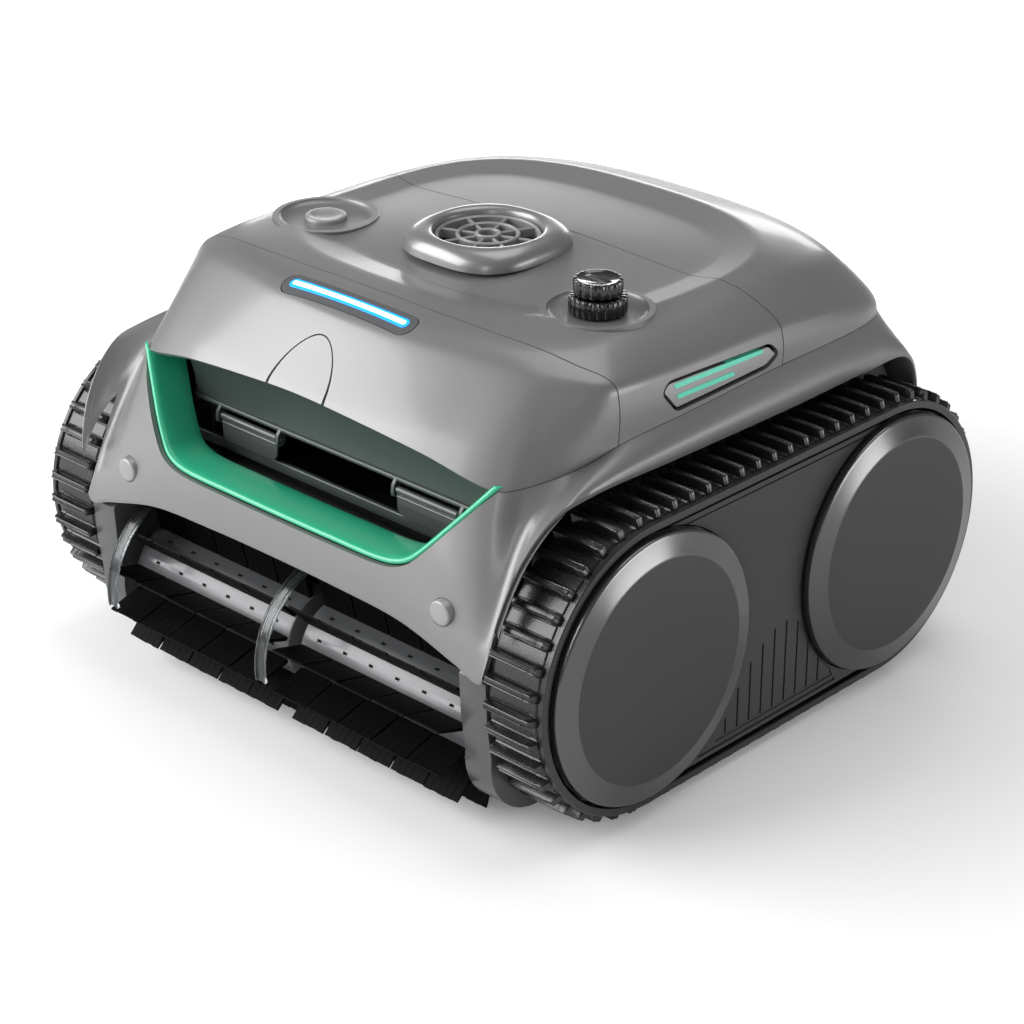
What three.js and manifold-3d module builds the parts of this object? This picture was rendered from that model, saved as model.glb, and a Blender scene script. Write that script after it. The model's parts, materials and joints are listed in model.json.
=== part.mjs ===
// Cordless tracked pool cleaning robot, in millimetres, +Z up, front towards -Y. Left and right are
// as seen by someone who stands in front of the machine and faces it, with right at +X.
// The machine is drawn about the middle of its wheelbase (y = 0) on the ground (z = 0), and the whole
// group is moved at the end so that the origin is under the middle of its footprint.

import * as THREE from 'three';
import { mergeVertices } from 'three/addons/utils/BufferGeometryUtils.js';
import Module from 'manifold-3d';

const wasm = await Module();
wasm.setup();

// ---- driving dimensions -----------------------------------------------------------------------

const gap = 0.35; // between pieces that touch
const wheelbase = 204.6;
const trackOuterRadius = 88.8; // to the tips of the lugs
const lugHeight = 6.8;
const lugCount = 68;
const lugBaseWidth = 5.4;
const lugCrestWidth = 3.4;
const beltThickness = 3.4;
const trackInnerX = 160;
const trackWidth = 38.5;
const coverProud = 6.5; // how far a wheel cover stands out past the track
const coverRadius = 76.7;
const coverFaceRadius = 64.3;
const coverChamfer = 3;
const wheelHubRadius = 16;
const axleRadius = 6;

const shellWall = 3;
const bodyHalfWidth = 162; // lower crease, half of the width of the hood
const fenderReach = 9; // how far the fender lip stands out past the lower crease
const hoodScaleZ = 1; // stretches the hood above its lower crease
const roofPanelDrop = 4; // the sunken oval on the roof

const brushRadius = 50;
const brushCoreRadius = 27;
const brushCentreGap = 9;
const guardClearance = 0.9;
const guardThickness = 2;
const brushHalfSpan = 138; // to the outer end of each brush half
const bladeRows = 12;
const bladeThickness = 2.4;
const gearModule = 2.5;
const wheelGearTeeth = 32;
const brushGearTeeth = 16;
const pinionTeeth = 10;
const gearWidth = 6;

const frameBottomZ = 24;
const floorThickness = 3;
const sidePlateX = 146; // inner face of the side frames
const sidePlateThickness = 4;

const outletY = -19.4;
const outletRadius = 30.5;
const outletSeatZ = 251;
const outletHeight = 10;
const pumpDuctRadius = 33;
const pumpDuctWall = 2.5;

const dishX = 106; // the two round recesses on the roof
const dishY = -45;
const dishRadius = 28.5;
const dishFloorZ = 246;
const capTopZ = 266;
const capRadius = 13.4;
const capRingRadius = 16;
const buttonRadius = 12;

const lidAxisY = 184.5;
const lidAxisZ = 201;
const knuckleRadius = 5;
const hingePinRadius = 2.4;

const flapPivotY = -139;
const flapPivotZ = 155;
const flapHeight = 15;

// ---- derived values ----------------------------------------------------------------------------

const axleY = wheelbase / 2;
const axleZ = trackOuterRadius;
const beltOuterRadius = trackOuterRadius - lugHeight;
const beltInnerRadius = beltOuterRadius - beltThickness;
const trackOuterX = trackInnerX + trackWidth;
const gearX = (sidePlateX + sidePlateThickness + trackInnerX) / 2;
const brushGearDistance = gearModule * (wheelGearTeeth + brushGearTeeth) / 2;
const brushZ = brushRadius + 0.3;
const brushY = -axleY - Math.sqrt(brushGearDistance ** 2 - (axleZ - brushZ) ** 2);
const pinionDistance = gearModule * (wheelGearTeeth + pinionTeeth) / 2;
const pinionDrop = 15;
const motorZ = axleZ - pinionDrop;
const motorY = -axleY + Math.sqrt(pinionDistance ** 2 - pinionDrop ** 2);
const frontReach = -brushY + brushRadius + guardClearance + guardThickness;
const rearReach = axleY + trackOuterRadius;

// ---- solids: conversion and booleans -----------------------------------------------------------

function toManifold(geometry) {
  const bare = geometry.index ? geometry.toNonIndexed() : geometry.clone();
  for (const name of Object.keys(bare.attributes)) {
    if (name !== 'position') bare.deleteAttribute(name);
  }
  const merged = mergeVertices(bare, 1e-4);
  const vertProperties = new Float32Array(merged.attributes.position.array);
  const triVerts = new Uint32Array(merged.index.array);
  return new wasm.Manifold(new wasm.Mesh({ numProp: 3, vertProperties, triVerts }));
}

function toGeometry(solid) {
  const mesh = solid.getMesh();
  const geometry = new THREE.BufferGeometry();
  geometry.setAttribute('position', new THREE.BufferAttribute(new Float32Array(mesh.vertProperties), 3));
  geometry.setIndex(new THREE.BufferAttribute(new Uint32Array(mesh.triVerts), 1));
  return geometry;
}

const join = (first, ...others) => others.reduce((sum, other) => sum.add(other), first);
const cut = (first, ...others) => others.reduce((rest, other) => rest.subtract(other), first);
const mirrorX = (solid) => solid.mirror([1, 0, 0]);

// ---- solids: basic shapes ----------------------------------------------------------------------

function box(x0, x1, y0, y1, z0, z1) {
  const geometry = new THREE.BoxGeometry(x1 - x0, y1 - y0, z1 - z0);
  geometry.translate((x0 + x1) / 2, (y0 + y1) / 2, (z0 + z1) / 2);
  return toManifold(geometry);
}

// The three prisms take an outline in the plane across their axis, as [a, b] pairs.
function prism(points, depth, basis, holes = []) {
  const shape = new THREE.Shape(points.map(([a, b]) => new THREE.Vector2(a, b)));
  shape.holes = holes.map((hole) => new THREE.Path(hole.map(([a, b]) => new THREE.Vector2(a, b))));
  const geometry = new THREE.ExtrudeGeometry(shape, { depth, bevelEnabled: false });
  geometry.applyMatrix4(basis);
  return toManifold(geometry);
}

const alongX = new THREE.Matrix4().set(0, 0, 1, 0, 1, 0, 0, 0, 0, 1, 0, 0, 0, 0, 0, 1);
const alongY = new THREE.Matrix4().set(1, 0, 0, 0, 0, 0, -1, 0, 0, 1, 0, 0, 0, 0, 0, 1);
const prismX = (yz, x0, x1, holes) => prism(yz, x1 - x0, alongX, holes).translate(x0, 0, 0);
const prismY = (xz, y0, y1, holes) => prism(xz, y1 - y0, alongY, holes).translate(0, y1, 0);
const prismZ = (xy, z0, z1, holes) => prism(xy, z1 - z0, new THREE.Matrix4(), holes).translate(0, 0, z0);

function circle(radius, a = 0, b = 0, sides = 24, turn = 0) {
  return Array.from({ length: sides }, (_, i) => {
    const angle = turn + (2 * Math.PI * i) / sides;
    return [a + radius * Math.cos(angle), b + radius * Math.sin(angle)];
  });
}

const rodX = (radius, x0, x1, y, z, sides = 16) => prismX(circle(radius, y, z, sides), x0, x1);
const rodZ = (radius, z0, z1, x, y, sides = 20) => prismZ(circle(radius, x, y, sides), z0, z1);
const rodY = (radius, y0, y1, x, z, sides = 16) => prismY(circle(radius, x, z, sides), y0, y1);

// A round body about X: the profile is [x, radius] pairs that start and end on the axis.
function turnedX(profile, y, z, sides = 40) {
  const points = profile.map(([x, radius]) => new THREE.Vector2(radius, x));
  const geometry = new THREE.LatheGeometry(points, sides);
  geometry.rotateZ(-Math.PI / 2);
  geometry.translate(0, y, z);
  return toManifold(geometry);
}

// Skins a list of closed loops that all have as many points. With poles the two ends are fans,
// and without them the last loop is joined to the first.
function skin(loops, startPole = null, endPole = null) {
  const count = loops[0].length;
  const position = [];
  for (const loop of loops) {
    for (const p of loop) position.push(p.x, p.y, p.z);
  }
  const index = [];
  const bands = startPole ? loops.length - 1 : loops.length;
  for (let band = 0; band < bands; band += 1) {
    const next = (band + 1) % loops.length;
    for (let i = 0; i < count; i += 1) {
      const j = (i + 1) % count;
      const [a, b, c, d] = [band * count + i, band * count + j, next * count + j, next * count + i];
      index.push(a, b, c, a, c, d);
    }
  }
  if (startPole) {
    const start = position.length / 3;
    position.push(startPole.x, startPole.y, startPole.z, endPole.x, endPole.y, endPole.z);
    const last = (loops.length - 1) * count;
    for (let i = 0; i < count; i += 1) {
      const j = (i + 1) % count;
      index.push(start, j, i, start + 1, last + i, last + j);
    }
  }
  const geometry = new THREE.BufferGeometry();
  geometry.setAttribute('position', new THREE.Float32BufferAttribute(position, 3));
  geometry.setIndex(index);
  if (signedVolume(geometry) < 0) {
    for (let i = 0; i < index.length; i += 3) [index[i], index[i + 1]] = [index[i + 1], index[i]];
    geometry.setIndex(index);
  }
  return toManifold(geometry);
}

function signedVolume(geometry) {
  const p = geometry.attributes.position;
  const [a, b, c] = [new THREE.Vector3(), new THREE.Vector3(), new THREE.Vector3()];
  let volume = 0;
  for (let i = 0; i < geometry.index.count; i += 3) {
    a.fromBufferAttribute(p, geometry.index.getX(i));
    b.fromBufferAttribute(p, geometry.index.getX(i + 1));
    c.fromBufferAttribute(p, geometry.index.getX(i + 2));
    volume += a.dot(b.cross(c)) / 6;
  }
  return volume;
}

// ---- the outer form ----------------------------------------------------------------------------
// Each ring runs round the body from the middle of the front, over the right side to the middle of
// the rear. The left side mirrors it. Rings share their stations, so the skin between two rings
// runs from station to station.

const ringPoints = 36;
const side = bodyHalfWidth;
const rise = (z) => 200 + (z - 200) * hoodScaleZ;

const lowerCrease = [
  [0, -168, 206], [46, -167, 203.5], [92, -164, 198.5], [side - 24, -155.5, 188.8], [side - 16, -143, 189],
  [side - 11, -131, 190.5], [side - 7, -118, 192.5], [side - 4, -104, 195.5], [side - 2, -88, 199],
  [side, -30, 202], [side + 0.5, 40, 205], [side - 1, 105, 205], [side - 5, 128, 204],
  [side - 13, 147, 202.5], [side - 24, 159, 201], [side - 40, 167, 200.5], [90, 175, 200],
  [45, 178, 200], [0, 179, 200],
];
const upperCrease = [
  [0, -139.5, 239.5], [46, -137, 239], [88, -129.5, 238], [side - 36, -119, 236.5], [side - 24, -112, 235.5],
  [side - 16, -106, 234.5], [side - 9, -100, 233.5], [side - 5, -95, 232.5], [side - 3, -88, 231.5],
  [side - 2, -30, 228.5], [side - 1.5, 40, 228], [side - 3, 100, 222], [side - 7, 124, 218],
  [side - 15, 142, 214.5], [side - 26, 154, 213], [side - 42, 162, 213], [88, 169.5, 214],
  [45, 172.5, 215], [0, 173.5, 215.5],
];
const shoulder = [
  [0, -126, 247.4], [40, -124, 247.2], [76, -118, 246.8], [104, -109, 246.4], [116, -103, 246.2],
  [124, -97, 246], [130, -90, 246], [134, -83, 246], [137, -74, 246],
  [139, -28, 245.6], [139, 36, 245.4], [136, 88, 243], [130, 110, 241.5],
  [121, 127, 240], [110, 137, 239.5], [96, 145, 239.5], [70, 153, 240],
  [35, 157, 240.5], [0, 158, 240.5],
];
const fenderLip = [
  [0, -187, 117], [50, -187.5, 116.8], [100, -188, 114.5], [side - 22, -188.5, 104.5],
  [side - 4, -189, 100.5], [side + 4, -184.5, 136], [side + 8, -171, 165],
  [side + fenderReach + 2, -150, 184], [side + fenderReach + 1.5, -122, 187.5],
  [side + fenderReach, -50, 185.5], [side + fenderReach, 45, 184.5], [side + fenderReach - 1, 112, 184.5],
  [side + 7, 150, 182], [side + 2, 169, 162], [side - 5, 180, 125], [side - 16, 182, 90], [100, 183.5, 62],
  [50, 184, 60], [0, 184, 60],
];
const panelCentreY = 10;
const panelOuter = { halfX: 126, halfY: 106, front: 249.8, rear: 252.2, side: 248.5 };
const panelInner = { halfX: 108, halfY: 84, front: 250.2, rear: 252.2, side: 250.5 };
const roofPeakZ = 255.5;

function loopFrom(half) {
  const right = half.map(([x, y, z]) => new THREE.Vector3(x, y, z));
  const left = half.slice(1, -1).reverse().map(([x, y, z]) => new THREE.Vector3(-x, y, z));
  const curve = new THREE.CatmullRomCurve3([...right, ...left], true, 'centripetal');
  return Array.from({ length: ringPoints }, (_, i) => curve.getPoint(i / ringPoints));
}

const lifted = (half) => half.map(([x, y, z]) => [x, y, rise(z)]);

// A rounded oval on the roof, lowered by drop.
function panelLoop({ halfX, halfY, front, rear, side: sideZ }, drop) {
  return Array.from({ length: ringPoints }, (_, i) => {
    const angle = (2 * Math.PI * i) / ringPoints;
    const [s, c] = [Math.sin(angle), -Math.cos(angle)];
    const squeeze = (Math.abs(s) ** 3 + Math.abs(c) ** 3) ** (-1 / 3);
    const end = c < 0 ? front : rear;
    const z = sideZ + (end - sideZ) * c * c - drop;
    return new THREE.Vector3(halfX * s * squeeze, panelCentreY + halfY * c * squeeze, rise(z));
  });
}

const hoodCentreY = 6;
const underHoodZ = 215; // middle of the hood's underside, which rises inwards from its edge
const inset = (loop, wall, lower) => loop.map((p) => new THREE.Vector3(
  p.x * (1 - wall / 155),
  hoodCentreY + (p.y - hoodCentreY) * (1 - wall / 165),
  p.z - lower,
));
const lerpLoops = (a, b, share, bulge = 0) => a.map((p, i) => {
  const mid = p.clone().lerp(b[i], share);
  const out = new THREE.Vector3(mid.x / 160, (mid.y - hoodCentreY) / 175, 0).normalize();
  return mid.addScaledVector(out, bulge);
});

const rings = {
  lip: loopFrom(fenderLip),
  lower: loopFrom(lifted(lowerCrease)),
  upper: loopFrom(lifted(upperCrease)),
  shoulder: loopFrom(lifted(shoulder)),
  panelOuter: panelLoop(panelOuter, 0),
  panelInner: panelLoop(panelInner, roofPanelDrop),
};
const roofPeak = new THREE.Vector3(0, panelCentreY, rise(roofPeakZ) - roofPanelDrop);

function hoodSolid() {
  const outer = [
    rings.lower,
    lerpLoops(rings.lower, rings.upper, 0.5, 1.5),
    rings.upper,
    lerpLoops(rings.upper, rings.shoulder, 0.45, 1.6),
    rings.shoulder,
    rings.panelOuter,
    rings.panelInner,
  ];
  const block = skin(outer, new THREE.Vector3(0, hoodCentreY, underHoodZ), roofPeak);
  const inner = outer.map((loop, i) => inset(loop, shellWall, i < 2 ? 0 : shellWall));
  inner[0] = inner[0].map((p) => p.clone().setZ(p.z - 8));
  const low = inner[0].map((p) => p.clone().setZ(140));
  const hollowTop = roofPeak.clone().setZ(roofPeak.z - shellWall);
  const hollow = skin([low, ...inner], new THREE.Vector3(0, hoodCentreY, 135), hollowTop);
  return { skinSolid: cut(block, hollow), block };
}

// Everything above the lower crease, which the pieces below the hood stay out of.
function aboveCrease() {
  const skyZ = 320;
  const edge = rings.lower.map((p) => p.clone().setZ(p.z - gap));
  const top = edge.map((p) => p.clone().setZ(skyZ));
  const [low, high] = [underHoodZ, skyZ].map((z) => new THREE.Vector3(0, hoodCentreY, z));
  return skin([edge, top], low, high);
}

// Plan outlines of the two panel joints across the roof, from the middle to the right side.
const frontJoint = [[0, -108.5], [60, -108], [105, -104.5], [138, -98], [side - 2, -88], [side + 40, -84]];
const rearJoint = [[0, 27], [80, 27.5], [118, 30], [142, 36], [side - 2, 43], [side + 40, 46]];
const across = (joint, shift) => [
  ...joint.slice(1).reverse().map(([x, y]) => [-x, y + shift]),
  ...joint.map(([x, y]) => [x, y + shift]),
];

function hoodPanels(hood) {
  const [low, high, far] = [100, 300, 300];
  const outline = (points, y) => prismZ([...points, [far, y], [-far, y]], low, high);
  const front = hood.intersect(outline(across(frontJoint, -gap), -far));
  const rear = hood.intersect(outline(across(rearJoint, gap), far));
  const between = prismZ([...across(frontJoint, gap), ...across(rearJoint, -gap).reverse()], low, high);
  return { front, middle: hood.intersect(between), rear };
}

// ---- hood fittings -----------------------------------------------------------------------------

function pill(halfLength, radius, centreY, grow = 0, sides = 8) {
  const r = radius + grow;
  const end = (sign) => Array.from({ length: sides + 1 }, (_, i) => {
    const angle = -Math.PI / 2 + (Math.PI * i) / sides;
    return [sign * (halfLength - radius + r * Math.cos(angle)), centreY + sign * r * Math.sin(angle)];
  });
  return [...end(1), ...end(-1)];
}

// The finger tab at the middle of the nose, as an arch in the XZ plane.
function latchOutline(grow = 0) {
  const [halfWidth, foot, spring, top] = [21 + grow, 190, 206, 232 + grow];
  const arch = Array.from({ length: 13 }, (_, i) => {
    const angle = (Math.PI * i) / 12;
    const [along, up] = [Math.cos(angle), Math.sin(angle)];
    return [halfWidth * along * (1 - 0.38 * up), spring + (top - spring) * up];
  });
  return [[halfWidth, foot], ...arch, [-halfWidth, foot]];
}

function trimOutline(grow = 0) {
  const corners = [[-44, 205.5], [30, 208], [39, 213], [32, 220], [-50, 222.5], [-55, 218]];
  const middle = [-8, 214];
  return corners.map(([y, z]) => [
    y + Math.sign(y - middle[0]) * grow,
    z + Math.sign(z - middle[1]) * grow,
  ]);
}

function outletBezel() {
  const steps = 28;
  const ring = (radius, z, squareness) => Array.from({ length: steps }, (_, i) => {
    const angle = (2 * Math.PI * i) / steps;
    const [s, c] = [Math.sin(angle), Math.cos(angle)];
    const power = 2 + squareness;
    const r = radius * (Math.abs(s) ** power + Math.abs(c) ** power) ** (-1 / power);
    return new THREE.Vector3(r * s, outletY + r * c, z);
  });
  const base = outletSeatZ + gap;
  const top = outletSeatZ + outletHeight;
  return skin([
    ring(outletRadius + 12, base, 0.7),
    ring(outletRadius + 11, base + 5, 0.7),
    ring(outletRadius + 6.5, top - 1, 0.5),
    ring(outletRadius + 4, top, 0.2),
    ring(outletRadius + 0.8, top - 1.2, 0),
    ring(outletRadius, top - 3, 0),
    ring(outletRadius, base, 0),
  ]);
}

function outletGrille() {
  const base = outletSeatZ - 1.5;
  const height = 7.5;
  const band = (outer, inner) => prismZ(
    circle(outer, 0, outletY, 20), base, base + height, [circle(inner, 0, outletY, 20).reverse()]);
  const pieces = [band(outletRadius - gap, outletRadius - 3), band(18, 16), band(7.5, 5.5)];
  for (let i = 0; i < 8; i += 1) {
    const spoke = box(6.5, outletRadius - 2, -0.9, 0.9, base + 0.5, base + height - 0.5);
    pieces.push(spoke.rotate([0, 0, 22.5 + 45 * i]).translate([0, outletY, 0]));
  }
  return join(...pieces);
}

function hoodParts() {
  const { skinSolid, block } = hoodSolid();
  const panels = hoodPanels(skinSolid);
  const barPlan = (grow) => prismZ(pill(47, 3.6, -126.7, grow), 230, 260);
  const lens = panels.front.intersect(barPlan(0));
  const tab = panels.front.intersect(prismY(latchOutline(), -200, -120));
  const nose = cut(panels.front, barPlan(gap), prismY(latchOutline(gap + 0.25), -200, -120));

  const dishes = [];
  const cups = [];
  for (const sign of [-1, 1]) {
    const x = sign * dishX;
    cups.push(rodZ(dishRadius + 2.5, dishFloorZ - 3, 249, x, dishY, 24));
    dishes.push(rodZ(dishRadius, dishFloorZ, 280, x, dishY, 24));
  }
  const trimCut = prismX(trimOutline(gap), 140, 190);
  const trim = prismX(trimOutline(), 140, 190);
  let middle = join(panels.middle, ...cups.map((cup) => cup.intersect(block)));
  middle = cut(
    middle,
    ...dishes,
    rodZ(outletRadius + 1, 200, 290, 0, outletY, 24),
    rodZ(outletRadius + 14, outletSeatZ, 290, 0, outletY, 24),
    rodZ(buttonRadius + gap, 200, 290, -dishX, dishY),
    rodZ(9.4, 200, 290, dishX, dishY),
    trimCut,
    mirrorX(trimCut),
  );
  const trims = { right: panels.middle.intersect(trim), left: panels.middle.intersect(mirrorX(trim)) };
  const rear = join(panels.rear, ...hingeKnuckles(44, 59, 0.2, 4));
  const pinHole = rodX(hingePinRadius + gap, -120, 120, lidAxisY, lidAxisZ, 12);
  return { nose, lens, tab, middle, trims, rear: cut(rear, pinHole) };
}

// Hinge knuckles at the rear, on both sides, each with a web to the wall in front of it.
function hingeKnuckles(x0, x1, webFrom, webTo) {
  const wallY = 174;
  return [[x0, x1], [-x1, -x0]].flatMap(([a, b]) => [
    rodX(knuckleRadius, a, b, lidAxisY, lidAxisZ, 12),
    box(a, b, wallY, lidAxisY, lidAxisZ + webFrom, lidAxisZ + webTo),
  ]);
}

// ---- lower body ---------------------------------------------------------------------------------

// Right half of the mouth's outline seen from the front, from the tip at the hood to the middle.
const mouthHalf = [
  [141.6, 193], [124, 171.5], [104, 148.5], [97, 142.5], [89, 139.2], [78, 137.4], [0, 136.6],
];
const mouthOutline = (grow = 0) => {
  const right = mouthHalf.map(([x, z]) => [x + (x > 80 ? grow : 0), z - grow]);
  return [...right, ...right.slice(0, -1).reverse().map(([x, z]) => [-x, z])];
};

// How far forward the face of the front frame is at a height.
const facePoints = [[100, -189], [117, -187.4], [138, -179.5], [160, -170], [175, -162.5], [190, -155]];
function faceY(z) {
  let i = 0;
  while (i < facePoints.length - 2 && z > facePoints[i + 1][0]) i += 1;
  const [[z0, y0], [z1, y1]] = [facePoints[i], facePoints[i + 1]];
  return y0 + ((y1 - y0) * (z - z0)) / (z1 - z0);
}

function bodyFrame() {
  const top = rings.lower.map((p) => p.clone().setZ(p.z - gap));
  const lip = rings.lip;
  const outer = [top, lerpLoops(top, lip, 0.33, 2.2), lerpLoops(top, lip, 0.66, 2.6), lip];
  const inner = outer.map((loop) => inset(loop, shellWall, 0)).reverse();
  const band = skin([...outer, ...inner]);
  const mouth = prismY(mouthOutline(gap), -210, -120);
  const knuckle = hingeKnuckles(60, 75, -4.8, -2);
  const body = cut(
    join(band, ...knuckle),
    mouth,
    rodY(7 + gap, -200, -170, 126, 126),
    rodY(7 + gap, -200, -170, -126, 126),
    rodX(hingePinRadius + gap, -120, 120, lidAxisY, lidAxisZ, 12),
    trackEnvelope(2.2),
  );
  return body.decompose().sort((a, b) => b.volume() - a.volume())[0];
}

function mouthBezel() {
  const path = mouthOutline(0);
  const section = [[0, -0.8], [1.6, -2], [3.4, -1], [3.8, 6], [3.2, 24], [0.4, 24], [0.2, 6]];
  const loops = path.map(([x, z], i) => {
    const [before, after] = [path[Math.max(i - 1, 0)], path[Math.min(i + 1, path.length - 1)]];
    const along = new THREE.Vector2(after[0] - before[0], after[1] - before[1]).normalize();
    const inward = new THREE.Vector2(along.y, -along.x);
    if (inward.y < 0) inward.negate();
    return section.map(([off, depth]) => new THREE.Vector3(
      x + inward.x * off, faceY(z) + depth, z + inward.y * off));
  });
  const centre = (loop) => loop.reduce((sum, p) => sum.add(p), new THREE.Vector3()).divideScalar(loop.length);
  return cut(skin(loops, centre(loops[0]), centre(loops[loops.length - 1])), aboveCrease());
}

const chamber = { x: 122, front: -133, back: 36, floor: 106.4, wall: 2.5, top: 186 };

// The tub behind the mouth that holds the basket, with the mouth's inner wall and threshold.
function filterChamber() {
  const { x, front, back, floor, wall, top } = chamber;
  const tub = cut(
    box(-x - wall, x + wall, front - wall, back + wall, floor, top),
    box(-x, x, front, back, floor + wall, top + 10),
    box(-x, x, front - wall - 5, front + 10, 128, 158),
    rodZ(pumpDuctRadius + pumpDuctWall + gap, floor - 5, floor + 10, 0, outletY, 32),
    box(-60, 60, front + 15, front + 35, floor - 5, floor + 10),
  );
  const threshold = prismX(
    [[front - 1, 128.2], [-153.4, 136.8], [-153.4, 134.3], [front - 1, 125.7]], -100, 100);
  const innerWall = prismX(
    [[-148, 197], [-140.5, 180], [-137.5, 165], [-136.8, 158],
      [-134.3, 158], [-134.5, 166], [-137, 180], [-144, 197.6]],
    -118, 118);
  const bridge = box(-118, 118, -137, front, 158.2, 161);
  const crossbar = box(-x, x, -136.5, front, 132, 138.6);
  const ears = [-98, -47.4, 45.2, 95.8].map((at) => cut(
    box(at, at + 2.2, flapPivotY - 2.6, -135.5, flapPivotZ - 2.6, flapPivotZ + 6),
    rodX(1.5, at - 1, at + 4, flapPivotY, flapPivotZ, 12)));
  const flanges = [-1, 1].map((sign) => {
    const [a, b] = sign > 0 ? [x + wall - 0.5, sidePlateX - gap] : [-sidePlateX + gap, -x - wall + 0.5];
    return box(a, b, front + 10, back - 5, 150, 153);
  });
  return join(tub, threshold, innerWall, bridge, crossbar, ...ears, ...flanges);
}

function mouthFlap(sign) {
  const [inner, outer] = [45.8, 97.4];
  const bottom = flapPivotZ - flapHeight;
  const plate = prismY(
    [[inner + 2.2, flapPivotZ], [inner + 2.2, bottom + 5], [inner + 7, bottom],
      [outer - 3, bottom], [outer - 3, flapPivotZ]],
    flapPivotY - 0.8, flapPivotY + 0.8);
  const bead = rodX(2, inner + 2.2, outer - 3, flapPivotY, flapPivotZ, 12);
  const pin = rodX(1.15, inner - 1.4, outer - 0.6 + 1.2, flapPivotY, flapPivotZ, 12);
  const solid = join(plate, bead, pin);
  return sign > 0 ? solid : mirrorX(solid);
}

function filterBasket() {
  const play = 3;
  const x = chamber.x - play;
  const [front, back] = [chamber.front + play, chamber.back - play];
  const floor = chamber.floor + chamber.wall + gap;
  const [top, wall] = [218, 2];
  const collarRadius = pumpDuctRadius + pumpDuctWall + 2.5;
  const body = cut(
    box(-x, x, front, back, floor, top),
    box(-x + wall, x - wall, front + wall, back - wall, floor + wall, top + 5),
    box(-x + 6, x - 6, front - 5, front + 5, 128, 154),
  );
  const collar = rodZ(collarRadius + wall, floor, floor + 12, 0, outletY, 32);
  const bore = rodZ(collarRadius, floor - 5, top, 0, outletY, 32);
  return cut(join(body, collar), bore);
}

function basePan() {
  const back = 168;
  const start = brushY + 51;
  const half = sidePlateX - gap;
  const floor = box(-half, half, start, back, frameBottomZ, frameBottomZ + floorThickness);
  const arc = (radius) => Array.from({ length: 15 }, (_, i) => {
    const angle = ((-28 + 128 * (i / 14)) * Math.PI) / 180;
    return [brushY + radius * Math.cos(angle), brushZ + radius * Math.sin(angle)];
  });
  const hoodOutline = [...arc(brushRadius + 6.5), ...arc(brushRadius + 3.5).reverse()];
  const housing = prismX(hoodOutline, -brushHalfSpan, brushHalfSpan);
  const heel = box(-half, half, start, start + 6, frameBottomZ, 40);
  const rearWall = box(-half, half, back - floorThickness, back, frameBottomZ, 58);
  const ribs = [-75, 75].map((x) => box(x - 1.5, x + 1.5, start, back, frameBottomZ, frameBottomZ + 10));
  return cut(join(floor, housing, heel, rearWall, ...ribs), box(-60, 60, start + 9, start + 27, 0, 60));
}

// ---- running gear --------------------------------------------------------------------------------

// A point on the track loop at a distance along it, raised above the belt's outer face.
function trackPoint(distance, height) {
  const arc = Math.PI * beltOuterRadius;
  const total = 2 * (arc + wheelbase);
  const s = ((distance % total) + total) % total;
  const radius = beltOuterRadius + height;
  if (s < wheelbase) return [-axleY + s, axleZ + radius];
  if (s < wheelbase + arc) {
    const angle = (s - wheelbase) / beltOuterRadius;
    return [axleY + radius * Math.sin(angle), axleZ + radius * Math.cos(angle)];
  }
  if (s < 2 * wheelbase + arc) return [axleY - (s - wheelbase - arc), axleZ - radius];
  const angle = (s - 2 * wheelbase - arc) / beltOuterRadius;
  return [-axleY - radius * Math.sin(angle), axleZ - radius * Math.cos(angle)];
}

// The space that the two tracks sweep, with some clearance all round.
function trackEnvelope(clearance) {
  const total = 2 * (Math.PI * beltOuterRadius + wheelbase);
  const steps = 60;
  const height = lugHeight + clearance;
  const loop = Array.from({ length: steps }, (_, i) => trackPoint((total * i) / steps, height));
  const right = prismX(loop.reverse(), trackInnerX - 0.8, trackOuterX + 30);
  return join(right, mirrorX(right));
}

function track() {
  const total = 2 * (Math.PI * beltOuterRadius + wheelbase);
  const pitch = total / lugCount;
  const outer = [];
  for (let i = 0; i < lugCount; i += 1) {
    const middle = (i + 0.5) * pitch;
    outer.push(trackPoint(middle - lugBaseWidth / 2, 0), trackPoint(middle - lugCrestWidth / 2, lugHeight));
    outer.push(trackPoint(middle + lugCrestWidth / 2, lugHeight), trackPoint(middle + lugBaseWidth / 2, 0));
  }
  const steps = 40;
  const inner = Array.from({ length: steps }, (_, i) => trackPoint((total * i) / steps, -beltThickness));
  return prismX(outer.reverse(), trackInnerX, trackOuterX, [inner]);
}

function wheel(y) {
  const [x0, x1] = [trackInnerX + 2, trackOuterX - 1.2];
  const rim = beltInnerRadius - 1.2;
  return turnedX([
    [x0, axleRadius + gap], [x0, wheelHubRadius], [x0 + 12, wheelHubRadius], [x0 + 12, rim - 7],
    [x0, rim - 5], [x0, rim], [x1, rim], [x1, rim - 7], [x0 + 17, rim - 9],
    [x0 + 22, axleRadius + gap], [x0, axleRadius + gap],
  ], y, axleZ, 26);
}

function wheelCover(y) {
  const x0 = trackOuterX - 1.2 + gap;
  const x1 = trackOuterX + coverProud;
  return turnedX([
    [x0, 0], [x0, coverRadius], [x1 - coverChamfer, coverRadius], [x1, coverFaceRadius], [x1, 0],
  ], y, axleZ, 40);
}

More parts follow.
